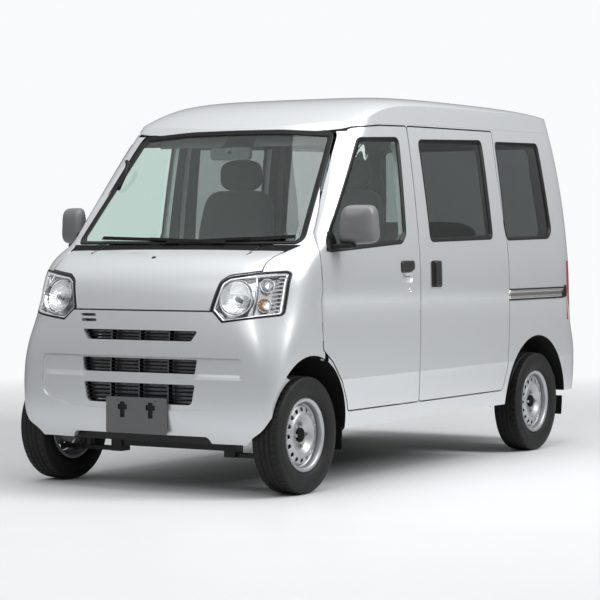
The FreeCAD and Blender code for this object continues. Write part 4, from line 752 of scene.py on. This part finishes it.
LAMP = "headlamp_lenses"
MAIN_BOWL = ((0.499, -1.626, 0.890), (0.08, -0.95, 0.29), 0.082, 0.034)
SMALL_BOWL_SPOTS = ((0.622, 0.948), (0.622, 0.862))
SMALL_BOWL_RADIUS, SMALL_BOWL_DEPTH, SMALL_BOWL_SINK = 0.031, 0.024, 0.014
LAMP_SEAL = [(-0.005, 0.0004), (-0.003, 0.0012), (0.002, 0.0006), (0.0035, -0.002), (0.003, -0.007),
             (-0.005, -0.007)]
LAMP_BEZEL = [(0.0, -0.0052), (-0.004, -0.0058), (-0.009, -0.0085), (-0.012, -0.020), (0.0, -0.020)]
BULB_SHIELD = [(-0.030, 0.001), (-0.030, 0.012), (-0.018, 0.0125), (-0.008, 0.0115), (-0.003, 0.007),
               (-0.001, 0.0005)]
RIBS, RIB_FOOT, RIB_SPACING = 9, 0.838, 0.018


def small_bowls():
    """The outer lamps' mouths and axes, laid parallel to the lens just under it."""
    return [(spot - normal * SMALL_BOWL_SINK, normal, SMALL_BOWL_RADIUS, SMALL_BOWL_DEPTH)
            for spot, normal in zip(*Skin(LAMP).front(np.array(SMALL_BOWL_SPOTS)))]


def faceted_bowl(mouth, axis, radius, depth, sectors, segments=168):
    """A paraboloid whose depth is 1 - (r / R) squared, rippled into small facets in rows and sectors."""
    share = np.linspace(0.14, 1, 40)
    points, faces = lathe(np.stack([-depth * (1 - share ** 2), share * radius], -1), mouth, axis, segments)
    turn = full_turn(segments)[:, None]
    ripple = np.abs(np.sin(turn * sectors / 2)) * np.sin(share * math.pi)
    ripple = ripple + 0.6 * np.abs(np.sin(share * math.pi * 5))
    return points + unit(np.asarray(axis)) * (0.0011 * ripple)[..., None], faces


def make_headlamps():
    outline = pane_outline(node_points(LAMP, lambda p: p[:, 0] > 0), [0, 2], 0.005)
    skin = Skin(LAMP)
    for name, inset, section, material in (("lamp_seal", 0.003, LAMP_SEAL, SEAL),
                                           ("lamp_bezel", 0.009, LAMP_BEZEL, CHROME)):
        points, faces = rubber_strip(*skin.front(shrunk(outline, inset)), section)
        both_sides(name, points, faces, material)
    bowls = small_bowls()
    for i, (mouth, axis, radius, depth) in enumerate([MAIN_BOWL] + bowls):
        points, faces = faceted_bowl(mouth, axis, radius, depth, 28 if i == 0 else 12)
        both_sides(f"reflector_{i}", points, faces, CHROME, smooth=i > 0)
        rim = np.array([(0.0, -0.002), (0.003, -0.001), (0.003, 0.002), (-0.003, 0.002)]) + (0.0, radius)
        both_sides(f"reflector_rim_{i}", *lathe(rim, mouth, axis, 96), BOWL)
    make_lamp_ribs(skin)
    make_bulbs(bowls)


def make_lamp_ribs(skin):
    """The bright divider between main and outer lamps and the short ribs at the lens's outer edge.

    The divider bows outwards with the square of the way from its middle, and leans with its height.
    """
    up = np.linspace(0, 1, 40)
    divider = np.stack([0.588 - 0.022 * (2 * up - 1) ** 2 - 0.010 * (1 - up), 0.800 + 0.196 * up], -1)
    both_sides("lamp_divider", *ridge_strip(*skin.front(divider), 0.0045, 0.008, 0.020), BOWL)
    for i in range(RIBS):
        line = np.stack([np.linspace(0.655, 0.684, 8), np.full(8, RIB_FOOT + RIB_SPACING * i)], -1)
        both_sides(f"lamp_rib_{i}", *ridge_strip(*skin.front(line), 0.0035, 0.009, 0.016), BOWL)


def ridge_strip(spots, normals, half, top, foot):
    """A rounded strip along an open line under a surface, from 'foot' deep up to 'top' deep."""
    side = np.cross(unit(np.gradient(spots, axis=0)), normals)
    shoulder = -top - half * 0.5
    section = np.array([(-half, -foot), (-half, shoulder), (0.0, -top), (half, shoulder), (half, -foot)])
    points = spots[:, None] + side[:, None] * section[None, :, :1] + normals[:, None] * section[None, :, 1:]
    return points, grid_faces(len(spots), len(section), wrap_columns=True)


def make_bulbs(bowls):
    """The shield over the main bulb, and the outer lamps' two bulbs as half ellipses turned round."""
    both_sides("bulb_shield", *lathe(BULB_SHIELD, MAIN_BOWL[0], MAIN_BOWL[1], 40), STEEL)
    turn = np.linspace(0, math.pi, 16)
    for i, (material, length) in enumerate(((BULB, 0.011), (AMBER, 0.013))):
        section = np.stack([-0.014 - length * np.cos(turn), 0.0105 * np.sin(turn) + POLE], -1)
        both_sides(f"small_bulb_{i}", *lathe(section, bowls[i][0], bowls[i][1], 32), material)


# Nose, roof and cabin trim

NOZZLE_SPOT = (-0.037, -1.500, 2.0)
GRAB_PATH = [(-0.560, -0.985, 1.545), (-0.545, -0.995, 1.530), (-0.535, -1.030, 1.480),
             (-0.545, -1.065, 1.415), (-0.560, -1.060, 1.400)]
# Black sheets behind the plate holder's cut-outs: painted shade for the holes.
HOLE_SHADE_SPOT, HOLE_SHADE_HALF = 0.078, 0.032
HOLE_SHADE_LOW, HOLE_SHADE_HIGH = 0.330, 0.418
HOLE_SHADE_SINK, HOLE_SHADE_THICK = 0.006, 0.002


def make_washer_nozzle():
    """A low dome on the hood, a quarter of an ellipse turned round the hood's normal."""
    turn = np.linspace(0, math.pi / 2, 9)
    dome = np.stack([0.0045 * np.cos(turn), 0.011 * np.sin(turn) + POLE], -1)
    spots, normals = Skin("hood").cast([NOZZLE_SPOT], (0, 0, -1))
    piece("washer_nozzle", *lathe(dome, spots[0], normals[0], 32), BLACK, "hood")


def make_grab_handle():
    """A grip beside the windscreen pillar on the van's right, held at both ends."""
    piece("grab_handle", *tube(GRAB_PATH, 0.010), BLACK, "root")


def make_plate_hole_shade():
    """Black plates behind the plate holder's cut-outs, painted shade for the holes: a face, an edge and a
    back, rounded boxes.
    """
    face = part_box("plate_holder")[0].y + HOLE_SHADE_SINK
    for side, x in (("right", -HOLE_SHADE_SPOT), ("left", HOLE_SHADE_SPOT)):
        middle = np.array([x, (HOLE_SHADE_LOW + HOLE_SHADE_HIGH) / 2])
        outline = rounded_box((x - HOLE_SHADE_HALF, x + HOLE_SHADE_HALF), (HOLE_SHADE_LOW, HOLE_SHADE_HIGH), 0.004)
        rings = []
        for y, reach in ((face, 0), (face, 1), (face + HOLE_SHADE_THICK, 1), (face + HOLE_SHADE_THICK, 0)):
            across, up = (middle + (outline - middle) * reach).T
            rings.append(np.stack([across, np.full(len(outline), y), up], -1))
        piece("plate_hole_shade_" + side, np.stack(rings), grid_faces(4, len(outline), wrap_columns=True), BLACK,
              "root", smooth=False)


make_headlamps()
make_plate_hole_shade()
make_washer_nozzle()
make_grab_handle()


# Wheels

WHEEL_PRESS = 0.0032
VENTS, VENT_STEPS = 16, 8
VENT_CIRCLE, VENT_RADIUS = 0.1165, 0.0106
VENT_INNER, VENT_OUTER = 0.1035, 0.1290
DISC_EDGE = 0.1345
STUDS, STUD_CIRCLE = 4, 0.050
BEAD_SEAT, WELL = 0.152, 0.137
NUT = [(0.020, 0.0112), (0.0275, 0.0112), (0.0285, 0.0088), (0.0400, 0.0088), (0.0425, 0.0060),
       (0.0435, POLE)]
NUT_SEAT = [(0.020, 0.0150), (0.0262, 0.0150), (0.0270, 0.0135), (0.0262, 0.0118), (0.020, 0.0118)]


def disc_level(radius):
    """How far out the pressed disc stands: a dished hub, a raised ring, then a slope down to the rim.

    Straight runs between the section's knots, rounded by averaging the line with itself shifted.
    """
    knots = np.array([0.0, 0.046, 0.058, 0.078, 0.088, 0.096, 0.104, 0.129, 0.134, 0.148])
    heights = np.array([0.024, 0.024, 0.026, 0.040, 0.046, 0.046, 0.041, 0.034, 0.030, 0.016])
    spread = np.linspace(-0.004, 0.004, 9)[:, None]
    return np.interp(np.abs(radius.ravel() + spread), knots, heights).mean(0).reshape(radius.shape)


def wheel_points(radius, angle, level):
    return np.stack([level, radius * np.cos(angle), radius * np.sin(angle)], -1)


def disc_ring(radii):
    """The disc's two faces over some radii, as two turned sheets a plate's thickness apart."""
    segments = VENTS * VENT_STEPS
    angle = full_turn(segments)[:, None]
    level = disc_level(radii) * np.ones_like(angle)
    faces = grid_faces(segments, len(radii), wrap_rows=True)
    return joined(*[(wheel_points(radii, angle, level - drop), faces) for drop in (0.0, WHEEL_PRESS)])


def vent_ring():
    """The pierced ring: in each sector a grid runs from the plate's edges in to the round hole,
    through it, and out again on the back."""
    half = math.pi / VENTS
    run = np.linspace(-1, 1, VENT_STEPS, endpoint=False)
    radii = VENT_INNER + (VENT_OUTER - VENT_INNER) * np.linspace(0, 1, 5)[:-1]
    edge_angle = np.concatenate([run * half, np.full(4, half), -run * half, np.full(4, -half)])
    edge_radius = np.concatenate([np.full(VENT_STEPS, VENT_INNER), radii, np.full(VENT_STEPS, VENT_OUTER),
                                  VENT_INNER + VENT_OUTER - radii])
    edge = np.stack([edge_radius * np.cos(edge_angle), edge_radius * np.sin(edge_angle)], -1)
    middle = np.array([VENT_CIRCLE, 0.0])
    hole = middle + unit(edge - middle) * VENT_RADIUS
    front = edge + (hole - edge) * np.linspace(0, 1, 5)[:, None, None]
    flat = np.concatenate([front, front[::-1]])
    radius, angle = np.linalg.norm(flat, axis=-1), np.arctan2(flat[..., 1], flat[..., 0])
    drop = np.repeat([0.0, WHEEL_PRESS], 5)[:, None]
    drop = drop + np.where(np.arange(10) == 4, 0.0006, 0.0)[:, None]
    level = disc_level(radius) - drop
    faces = grid_faces(10, flat.shape[1], wrap_columns=True)
    return joined(*[(wheel_points(radius, angle + i * 2 * half, level), faces) for i in range(VENTS)])


def rim_section():
    """The rim's closed section (out, radius): rolled flanges, bead seats and the deep well."""
    half, flange = RIM_HALF, RIM_RADIUS
    outer = [(half, flange - 0.002), (half - 0.0015, flange), (half - 0.006, flange - 0.001),
             (half - 0.008, BEAD_SEAT + 0.006), (half - 0.013, BEAD_SEAT), (0.022, BEAD_SEAT - 0.001),
             (0.014, WELL)]
    inner = [(-half + 0.003, BEAD_SEAT + 0.002), (-half + 0.008, BEAD_SEAT - 0.003),
             (-0.024, BEAD_SEAT - 0.004), (-0.016, WELL - 0.003)]
    outer = outer + [(-out, radius) for out, radius in reversed(outer)]
    inner = inner + [(-out, radius) for out, radius in reversed(inner)]
    return smooth_ring(evenly(np.array(outer + inner), 1.0, 150), 2)


def make_wheel(node):
    """A pressed steel wheel in place of the CAD rim, with its nuts and the dark bearing cap."""
    body, axle = BODY_OF[node], (1, 0, 0)
    centre = np.array(sum(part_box(node), Vector()) / 2)
    place = np.array([math.copysign(1.0, centre[0]), 1.0, 1.0])
    disc = disc_ring(np.concatenate([[POLE], np.linspace(0.006, VENT_INNER, 44)]))
    rim_side = disc_ring(np.linspace(VENT_OUTER, DISC_EDGE, 6))
    barrel = lathe(rim_section(), (0, 0, 0), axle, VENTS * VENT_STEPS)
    turn = np.linspace(0, math.pi / 2, 8)
    dome = np.stack([0.034 + 0.005 * np.sin(turn), 0.0305 * np.cos(turn) + POLE], -1)
    cap = lathe(np.vstack([[(0.022, 0.0325), (0.032, 0.0325), (0.0335, 0.0315)], dome]), (0, 0, 0), axle)
    nuts = []
    for angle in full_turn(STUDS):
        spot = np.array([0.0, STUD_CIRCLE * math.cos(angle), STUD_CIRCLE * math.sin(angle)])
        nuts += [lathe(NUT, spot, axle, 6), lathe(NUT_SEAT, spot, axle, 24)]
    for ending, (points, faces), material, smooth in (
        ("_pressing", joined(disc, vent_ring(), rim_side, barrel), WHEEL, True),
        ("_cap", cap, GRILLE, True),
        ("_nuts", joined(*nuts), STEEL, False),
    ):
        made = piece(node + ending, points.reshape(-1, 3) * place + centre, faces, material, body, smooth)
        if ending == "_pressing":
            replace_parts(made, node)


# Door mirrors

MIRROR_TURN = 0.34
MIRROR_FRONT, MIRROR_REAR = -1.158, -1.086
MIRROR_INSIDE, MIRROR_OUTSIDE = 0.722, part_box("door_fittings_left")[1].x
MIRROR_LOW, MIRROR_HIGH = 1.131, 1.312
MIRROR_SQUARE = 0.42
MIRROR_LIP = [(0.001, 1.0), (0.0, 0.985), (0.001, 0.955), (0.006, 0.93), (0.012, 0.93)]
SAIL = [(-1.214, 1.098, 0.008), (-1.096, 1.098, 0.008), (-1.130, 1.170, 0.016), (-1.176, 1.196, 0.010)]
ARM_MIDDLE, ARM_HALF, ARM_SQUARE = (0.757, -1.122, 1.121), (0.050, 0.036, 0.013), (0.35, 0.5)


def mirror_rings(ring, turn, outside):
    """The x and z of superellipse rings of some sizes, narrower at the top and drooping outwards below."""
    up = signed_power(np.sin(turn), MIRROR_SQUARE) * ring
    across = signed_power(np.cos(turn), MIRROR_SQUARE) * ring
    across = across * (1 - 0.11 * (up + 1)) + 0.03 * (up + 1)
    x = (MIRROR_INSIDE + outside) / 2 + (outside - MIRROR_INSIDE) / 2 * across
    z = (MIRROR_LOW + MIRROR_HIGH) / 2 + (MIRROR_HIGH - MIRROR_LOW) / 2 * (up + 0.05 * across * (up < 0))
    return x, z


def mirror_shell():
    """A mirror's cover: superellipse rings about a line along the van, narrower at the top, growing
    from the crowned front to the open rear, where the section turns in over the glass."""
    share = np.sin(np.linspace(1e-4, 1, 36) * math.pi / 2)
    depth = 1 - (1 - share ** 3.0) ** (1 / 3.0)
    back, size = np.array(MIRROR_LIP).T
    ring = np.concatenate([share, size])[:, None]
    along = np.concatenate([MIRROR_FRONT + (MIRROR_REAR - 0.004 - MIRROR_FRONT) * depth, MIRROR_REAR - back])
    x, z = mirror_rings(ring, full_turn(96), MIRROR_OUTSIDE - 0.001)
    points = np.stack([x, along[:, None] + MIRROR_TURN * (x - MIRROR_INSIDE), z], -1)
    return points, grid_faces(len(ring), 96, wrap_columns=True)


def mirror_glass():
    """A flat sheet of rings that fills the cover's mouth."""
    x, z = mirror_rings(np.linspace(1e-4, 1, 12)[:, None] * 0.95, full_turn(72), MIRROR_OUTSIDE)
    points = np.stack([x, MIRROR_REAR - 0.006 + MIRROR_TURN * (x - MIRROR_INSIDE), z], -1)
    return points, grid_faces(12, 72, wrap_columns=True)


def mirror_arm():
    """A squared-off bar across from the sail to the cover, leaning back and up on its way out."""
    turn = full_turn(72)
    end = np.linspace(-math.pi / 2, math.pi / 2, 33)[:, None]
    ring = np.abs(np.cos(end)) ** ARM_SQUARE[0]
    out = ARM_HALF[0] * signed_power(np.sin(end), ARM_SQUARE[0]) * np.ones_like(turn)
    y = ARM_MIDDLE[1] + ARM_HALF[1] * ring * signed_power(np.cos(turn), ARM_SQUARE[1]) + 0.25 * out
    z = ARM_MIDDLE[2] + ARM_HALF[2] * ring * signed_power(np.sin(turn), ARM_SQUARE[1]) + 0.06 * out
    return np.stack([ARM_MIDDLE[0] + out, y, z], -1), grid_faces(33, 72, wrap_columns=True)


def make_mirrors():
    door = "front_door_left"
    shells = both_sides("mirror_shell", *mirror_shell(), MIRROR_GREY, door)
    both_sides("mirror_glass", *mirror_glass(), CHROME, door)
    sail = plate_rings(Skin(door, "door_glass_left"), rounded(SAIL),
                       [(0, -0.004), (0, 0.006), (0.002, 0.0095), (0.006, 0.011)])
    both_sides("mirror_sail", *sail, BLACK, door)
    both_sides("mirror_arm", *mirror_arm(), BLACK, door)
    for shell, node in zip(shells, pair("door_fittings")):
        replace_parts(shell, node)


# Door handles and slide rails: outlines are (along, up, radius), sections (inset, height)

FINE = 0.004
FLAP = [(-0.517, 0.991, 0.012), (-0.430, 0.991, 0.020), (-0.385, 1.008, 0.016), (-0.385, 1.050, 0.012),
        (-0.517, 1.050, 0.012)]
FLAP_SECTION = [(0, -0.003), (0, 0.0045), (0.0015, 0.0072), (0.004, 0.0086), (0.009, 0.009), (0.022, 0.0078)]
SCOOP_EDGE = [(-0.508, 0.940, 0.024), (-0.400, 0.940, 0.030), (-0.396, 0.996, 0.008), (-0.508, 0.996, 0.008)]
SCOOP_SECTION = [(0, -0.003), (0.0005, 0.0009), (0.003, 0.0014), (0.006, 0.0009), (0.014, 0.0006),
                 (0.024, 0.0006)]
LOCK_SPOT = (-0.428, 0.905)
LOCK_SECTION = [(-0.004, 0.0115), (0.0012, 0.0115), (0.0026, 0.0100), (0.0026, 0.0078), (0.0008, 0.0070),
                (0.0006, POLE)]
CUP_SECTION = [(0, -0.003), (0, 0.0010), (0.0018, 0.0030), (0.0042, 0.0030), (0.0062, 0.0008),
               (0.0085, 0.0004)]
WELL_SHADE_SECTION = [(0, -0.003), (0, 0.0006), (0.012, 0.0005)]
GRIP_SECTION = [(0, -0.002), (0, 0.0060), (0.0015, 0.0078), (0.004, 0.0088), (0.010, 0.009), (0.018, 0.0084)]
LAMP_PANEL = [(1.370, 0.702, 0.002), (1.496, 0.702, 0.002), (1.474, 0.800, 0.06), (1.474, 1.0365, 0.002),
              (1.370, 1.0365, 0.002)]
LAMP_PANEL_SECTION = [(0, -0.010), (0, -0.0008), (0.0012, 0.0006), (0.004, 0.0007), (0.020, 0.0007)]
STOP = [(1.372, 0.833, 0.004), (1.436, 0.833, 0.006), (1.436, 0.900, 0.006), (1.412, 0.900, 0.006),
        (1.392, 0.872, 0.010), (1.372, 0.860, 0.006)]
STOP_SECTION = [(0, -0.003), (0, 0.0040), (0.002, 0.0050), (0.006, 0.0050)]
RAIL_FRONT, RAIL_REAR = 0.694, 1.392
RAIL_LOW, RAIL_HIGH = 0.836, 0.884


def make_door_handles():
    """A black flap over a finger scoop, with the lock's barrel under it."""
    door = "front_door_left"
    skin = Skin(door)
    both_sides("door_handle", *plate_rings(skin, rounded(FLAP, FINE), FLAP_SECTION), HANDLE, door)
    both_sides("door_handle_scoop", *plate_rings(skin, rounded(SCOOP_EDGE, FINE), SCOOP_SECTION), SCOOP, door)
    spots, normals = skin.side(np.array([LOCK_SPOT]))
    both_sides("door_lock", *lathe(LOCK_SECTION, spots[0], normals[0], 40), CHROME, door)


def make_slide_handles():
    """A cup with a rounded grey rim, a flat black sheet inside it as painted shade for the recess, and the
    upright grip standing in its rear half.
    """
    skin = Skin("sliding_door_left")
    cup = rounded_box((-0.216, -0.084), (0.908, 1.054), 0.020, FINE)
    both_sides("slide_handle_cup", *plate_rings(skin, cup, CUP_SECTION, filled=False), CUP_RIM)
    # Painted shade: a flat black sheet laid in the cup stands for the shade in its recess.
    both_sides("slide_handle_well_shade", *plate_rings(skin, shrunk(cup, 0.0060), WELL_SHADE_SECTION), BLACK)
    grip = rounded_box((-0.164, -0.112), (0.921, 1.045), (0.010, 0.016, 0.010, 0.010), FINE)
    both_sides("slide_handle_grip", *plate_rings(skin, grip, GRIP_SECTION), HANDLE)


class RearSide:
    """The left side behind the sliding door as one smooth sheet, which also bridges the lamp's opening.

    x is a polynomial in y and z, fitted to rays on the panel and on the lamp beyond it.
    """

    def __init__(self):
        up = np.linspace(0.70, 1.04, 9)
        hits = []
        for node, along in (("body_side_left", np.linspace(0.73, 1.36, 16)),
                            ("tail_lamps", np.linspace(1.454, 1.49, 5))):
            hits.append(Skin(node).side(np.stack(np.meshgrid(along, up), -1).reshape(-1, 2))[0])
        x, y, z = np.concatenate(hits).T
        self.weights = np.linalg.lstsq(self.terms(y, z), x, rcond=None)[0]

    @staticmethod
    def terms(y, z):
        """The products of y up to its fourth power and z up to its square, about the side's middle."""
        y, z = y - 1.1, z - 0.87
        return np.stack([y ** i * z ** j for i in range(5) for j in range(3)], -1)

    def side(self, outline, step=0.004):
        """Points over an outline, and normals from the sheet's rise over a short step either way."""
        y, z = outline.T
        x = self.terms(y, z) @ self.weights
        slope_y = (self.terms(y + step, z) @ self.weights - x) / step
        slope_z = (self.terms(y, z + step) @ self.weights - x) / step
        return np.stack([x, y, z], -1), unit(np.stack([np.ones_like(x), -slope_y, -slope_z], -1))


def rail_strip(skin, low, high, rear, profile):
    """A strip along the side between two heights: its (share of height, stand-off) section carried back."""
    along = np.linspace(RAIL_FRONT, rear, 60)
    rows = []
    for share, stand in profile:
        spots, normals = skin.side(np.stack([along, np.full(60, low + (high - low) * share)], -1))
        rows.append(spots + normals * stand)
    return capped(np.stack(rows, 1))


def make_slide_rails():
    """The sliding door's outer rail: a bright channel between two black lips, with a black stop at its end.

    A painted panel carries the side on over the opening in front of the tail lamp.
    """
    skin = RearSide()
    channel = [(0.0, -0.003), (0.0, 0.0022), (0.10, 0.0036), (0.22, 0.0036), (0.30, 0.0012)]
    channel += [(1 - share, stand) for share, stand in reversed(channel)]
    rails = both_sides("slide_rail", *rail_strip(skin, RAIL_LOW, RAIL_HIGH, RAIL_REAR, channel), RAIL)
    edge = [(0.0, -0.003), (0.0, 0.0030), (0.3, 0.0044), (0.7, 0.0044), (1.0, 0.0030), (1.0, -0.003)]
    for i, low in enumerate((RAIL_LOW - 0.007, RAIL_HIGH - 0.0005)):
        strip = rail_strip(skin, low, low + 0.0075, RAIL_REAR + 0.004, edge)
        both_sides(f"slide_rail_lip_{i}", *strip, BLACK)
    both_sides("lamp_panel", *plate_rings(skin, rounded(LAMP_PANEL, FINE), LAMP_PANEL_SECTION), PAINT)
    both_sides("slide_rail_stop", *plate_rings(skin, rounded(STOP, FINE), STOP_SECTION), BLACK)
    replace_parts(rails[0], "slide_fittings")


# The tailgate's bar over its window

HEADER_HALF = 0.4315
HEADER_LOW, HEADER_HIGH = 1.6835, 1.7635
GLASS_EDGE, ROOF_LIP = 1.680, 1.773
HEADER_PROUD = 0.0075
HEADER_INSIDE = [(0.92, 0.020), (0.75, 0.026), (0.25, 0.026), (0.06, 0.018)]


def make_tailgate_header():
    """A sheet straight from the glass's top edge to the roof's lip, closed round a rounded section as
    thick as the gate's frame."""
    across = np.linspace(-HEADER_HALF, HEADER_HALF, 80)
    foot, head = [Skin(node).front(np.stack([across, np.full(80, up)], -1), 1)[0][:, 1]
                  for node, up in (("tailgate_glass", GLASS_EDGE), ("roof_panel", ROOF_LIP))]
    foot = foot + HEADER_PROUD
    outside = [(0.0, 0.004), (0.02, 0.0014), (0.06, 0.0)]
    outside += [(share, 0.0) for share in np.linspace(0.12, 0.88, 9)]
    outside += [(0.94, 0.0), (0.98, 0.0012), (1.0, 0.0035)]
    rows = []
    for share, depth in outside + HEADER_INSIDE:
        up = HEADER_LOW + (HEADER_HIGH - HEADER_LOW) * share
        y = foot + (head - foot) * (up - GLASS_EDGE) / (ROOF_LIP - GLASS_EDGE) - depth
        rows.append(np.stack([across, y, np.full(80, up)], -1))
    piece("tailgate_header", *capped(np.stack(rows, 1)), PAINT, "tailgate")


for name in RIMS:
    make_wheel(name)
make_tailgate_header()
make_mirrors()
make_door_handles()
make_slide_handles()
make_slide_rails()


# CAD nodes and their finishes

FINISHES = {
    PAINT: pair("body_side", "sliding_door", "front_door") + ("roof_panel", "front_bulkhead", "hood",
                                                              "bumper_front", "tailgate", "bumper_rear"),
    BLACK: pair("door_fittings") + ("wheel_liners", "slide_fittings", "steering_wheel"),
    GRILLE: ("grille_bars", "cowl", "wipers"),
    GREY: ("plate_holder",),
    DASH: ("dashboard", "cabin_fittings"),
    CLEAR: ("windscreen",),
    SIDE_CLEAR: pair("door_glass"),
    DARK: ("side_glass", "tailgate_glass"),
    LENS: ("headlamp_lenses",),
    BOWL: ("headlamps",),
    RED: ("tail_lamps",),
    TYRE: TYRES,
    WHEEL: RIMS,
    CHASSIS: ("chassis_frame", "front_suspension", "rear_axle", "fuel_tank"),
    STEEL: pair("knuckle") + ("exhaust",),
    ENGINE: ("engine_block",),
    MAT: ("floor_pan",),
    CLOTH: pair("seat_cushion", "seat_back", "headrest") + ("rear_seat_cushion", "rear_seat_back"),
}
SILL_TOP, DOOR_FOOT, ROOF_FROM = 0.60, 0.30, 1.55
CABIN_FRONT, CABIN_REAR = -1.30, 1.3
OPENING_FROM, OPENING_TO, OPENING_INSIDE = 0.25, 0.44, 0.40
HOOD_SEAM, HOOD_TOP = 0.44, 1.085
UPRIGHTS = (0.0, 0.16)


def finish_part(names, material, where):
    """Gives some faces of CAD nodes a second finish; the test takes the faces' middles and normals."""
    for name in names:
        mesh = NODES[name].data
        mesh.materials.append(material)
        index = np.empty(len(mesh.polygons), np.int32)
        mesh.polygons.foreach_get("material_index", index)
        centers, normals = np.empty((2, len(mesh.polygons) * 3), np.float32)
        mesh.polygons.foreach_get("center", centers)
        mesh.polygons.foreach_get("normal", normals)
        index[where(centers.reshape(-1, 3), normals.reshape(-1, 3))] = len(mesh.materials) - 1
        mesh.polygons.foreach_set("material_index", index)


def faces_cabin(bottom):
    """Faces that look in on the cab and load space, above a height."""
    def test(spot, normal):
        inward = np.sign(spot[:, 0]) * normal[:, 0] < -0.35
        rear = (spot[:, 1] > CABIN_REAR) & (normal[:, 1] < -0.5)
        below_roof = (normal[:, 2] < -0.5) & (spot[:, 2] > ROOF_FROM)
        return (inward | rear | below_roof) & (spot[:, 2] > bottom) & (spot[:, 1] > CABIN_FRONT)
    return test


def faces_wheel(tyre):
    """The walls of a wheel's opening: faces near it that look at its axle."""
    centre = np.array(sum(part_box(tyre), Vector()) / 2)[1:]

    def test(spot, normal):
        out = spot[:, 1:] - centre
        reach = np.linalg.norm(out, axis=1)
        facing = np.sum(out * normal[:, 1:], axis=1) / np.maximum(reach, 1e-6)
        near = (reach > OPENING_FROM) & (reach < OPENING_TO) & (np.abs(spot[:, 0]) > OPENING_INSIDE)
        return near & (facing < -0.35)
    return test


def faces_hood_seam(spot, normal):
    """The hood's edge along the slits at its upper corners, made black as painted shade in the slits."""
    return (spot[:, 2] > HOOD_TOP) & (np.abs(np.abs(spot[:, 0]) - HOOD_SEAM) < 0.006)


def faces_upright(spot, normal):
    """The front of the grille's uprights, which take a lighter grey as a painted highlight."""
    off = np.min([np.abs(np.abs(spot[:, 0]) - x) for x in UPRIGHTS], axis=0)
    return (normal[:, 1] < -0.6) & (off < 0.004)


for material, names in FINISHES.items():
    for name in names:
        NODES[name].data.materials.clear()
        NODES[name].data.materials.append(material)

finish_part(pair("body_side"), LINING, faces_cabin(SILL_TOP))
finish_part(pair("sliding_door", "front_door"), LINING, faces_cabin(DOOR_FOOT))
finish_part(("roof_panel", "tailgate"), LINING, faces_cabin(SILL_TOP))
# Painted shade: the walls of the hood's slits are made black.
finish_part(("hood",), BLACK, faces_hood_seam)
# Painted highlight on the uprights' fronts.
finish_part(("grille_bars",), UPRIGHT_HIGHLIGHT, faces_upright)
for tyre in ("tyre_front_left", "tyre_rear_left"):
    finish_part(pair("body_side", "front_door") + ("front_bulkhead", "bumper_front", "bumper_rear"), BLACK,
                faces_wheel(tyre))


# Floor, light and the photograph's camera

FLOOR_SEEN, FLOOR_LIT = (0.76, 0.77, 0.78), (0.38, 0.385, 0.39)
FADE_FROM, FADE_TO = 3.0, 7.5
SKY_LOW, SKY_RISE, SKY_SEEN = 0.12, 0.50, 0.97


def make_floor():
    """A plain floor that fades out around the van, pale where it is seen and darker where it only lights."""
    bpy.ops.mesh.primitive_plane_add(size=120, location=(0, 0, 0))
    floor = bpy.context.object
    floor.name = "studio_floor"
    concrete = Finish("studio_floor", FLOOR_SEEN, 0.5)
    point = concrete.point()
    path = concrete.node("ShaderNodeLightPath")
    seen = concrete.value(path, "Is Camera Ray")
    for kind in ("Is Glossy Ray", "Is Transmission Ray"):
        seen = seen.math("MAXIMUM", concrete.value(path, kind))
    concrete.plug("Base Color", concrete.blend(seen, FLOOR_LIT, FLOOR_SEEN))
    concrete.plug("Roughness", 0.42 + concrete.noise(point, 2.0) * 0.1)
    length = concrete.node("ShaderNodeVectorMath", {"operation": "LENGTH"}, Vector=point)
    concrete.plug("Alpha", 1.0 - concrete.value(length, "Value").over(FADE_FROM, FADE_TO))
    floor.data.materials.append(concrete.material)


def make_world():
    """A soft sky, brighter upwards, that the camera and the glass see as near white."""
    world = bpy.data.worlds.new("studio")
    bpy.context.scene.world = world
    world.use_nodes = True
    sky = Nodes(world.node_tree)
    path = sky.node("ShaderNodeLightPath")
    seen = sky.value(path, "Is Camera Ray").math("MAXIMUM", sky.value(path, "Is Transmission Ray"))
    light = SKY_LOW + sky.parts(sky.point("Generated"))[2].over(-0.05, 0.8) * SKY_RISE
    strength = light + (SKY_SEEN - light) * seen
    backdrop = sky.tree.nodes["Background"]
    sky.tree.links.new(strength.socket, backdrop.inputs["Strength"])
    backdrop.inputs["Color"].default_value = (0.98, 0.99, 1.0, 1.0)


def soft_light(name, place, aim, width, depth, power):
    lamp = bpy.data.lights.new(name, "AREA")
    lamp.shape = "RECTANGLE"
    lamp.size, lamp.size_y, lamp.energy = width, depth, power
    obj = bpy.data.objects.new(name, lamp)
    obj.location = place
    obj.rotation_euler = (Vector(aim) - Vector(place)).to_track_quat("-Z", "Y").to_euler()
    bpy.context.collection.objects.link(obj)


def make_camera():
    """The photograph's camera, from a fit of the class's length and width to its picture."""
    camera = bpy.data.cameras.new("photo_camera")
    camera.sensor_width = 36.0
    camera.lens = 130.52
    camera.shift_x, camera.shift_y = 0.0065, 0.0027
    obj = bpy.data.objects.new("photo_camera", camera)
    obj.location = (5.7515, -9.7946, 1.1373)
    obj.rotation_euler = [math.radians(angle) for angle in (90 - 1.548, 0.072, 31.17)]
    bpy.context.collection.objects.link(obj)
    bpy.context.scene.camera = obj


make_floor()
make_world()
soft_light("roof_softbox", (0.5, -1.0, 5.4), (0.3, -0.4, 0.8), 4.0, 6.0, 130)
soft_light("nose_softbox", (0.0, -6.4, 4.6), (0, -1.5, 0.8), 4.0, 2.6, 101)
soft_light("side_softbox", (6.0, 1.4, 5.6), (0.7, 0.4, 1.3), 2.6, 5.6, 430)
make_camera()
bpy.context.scene.view_settings.view_transform = "Standard"
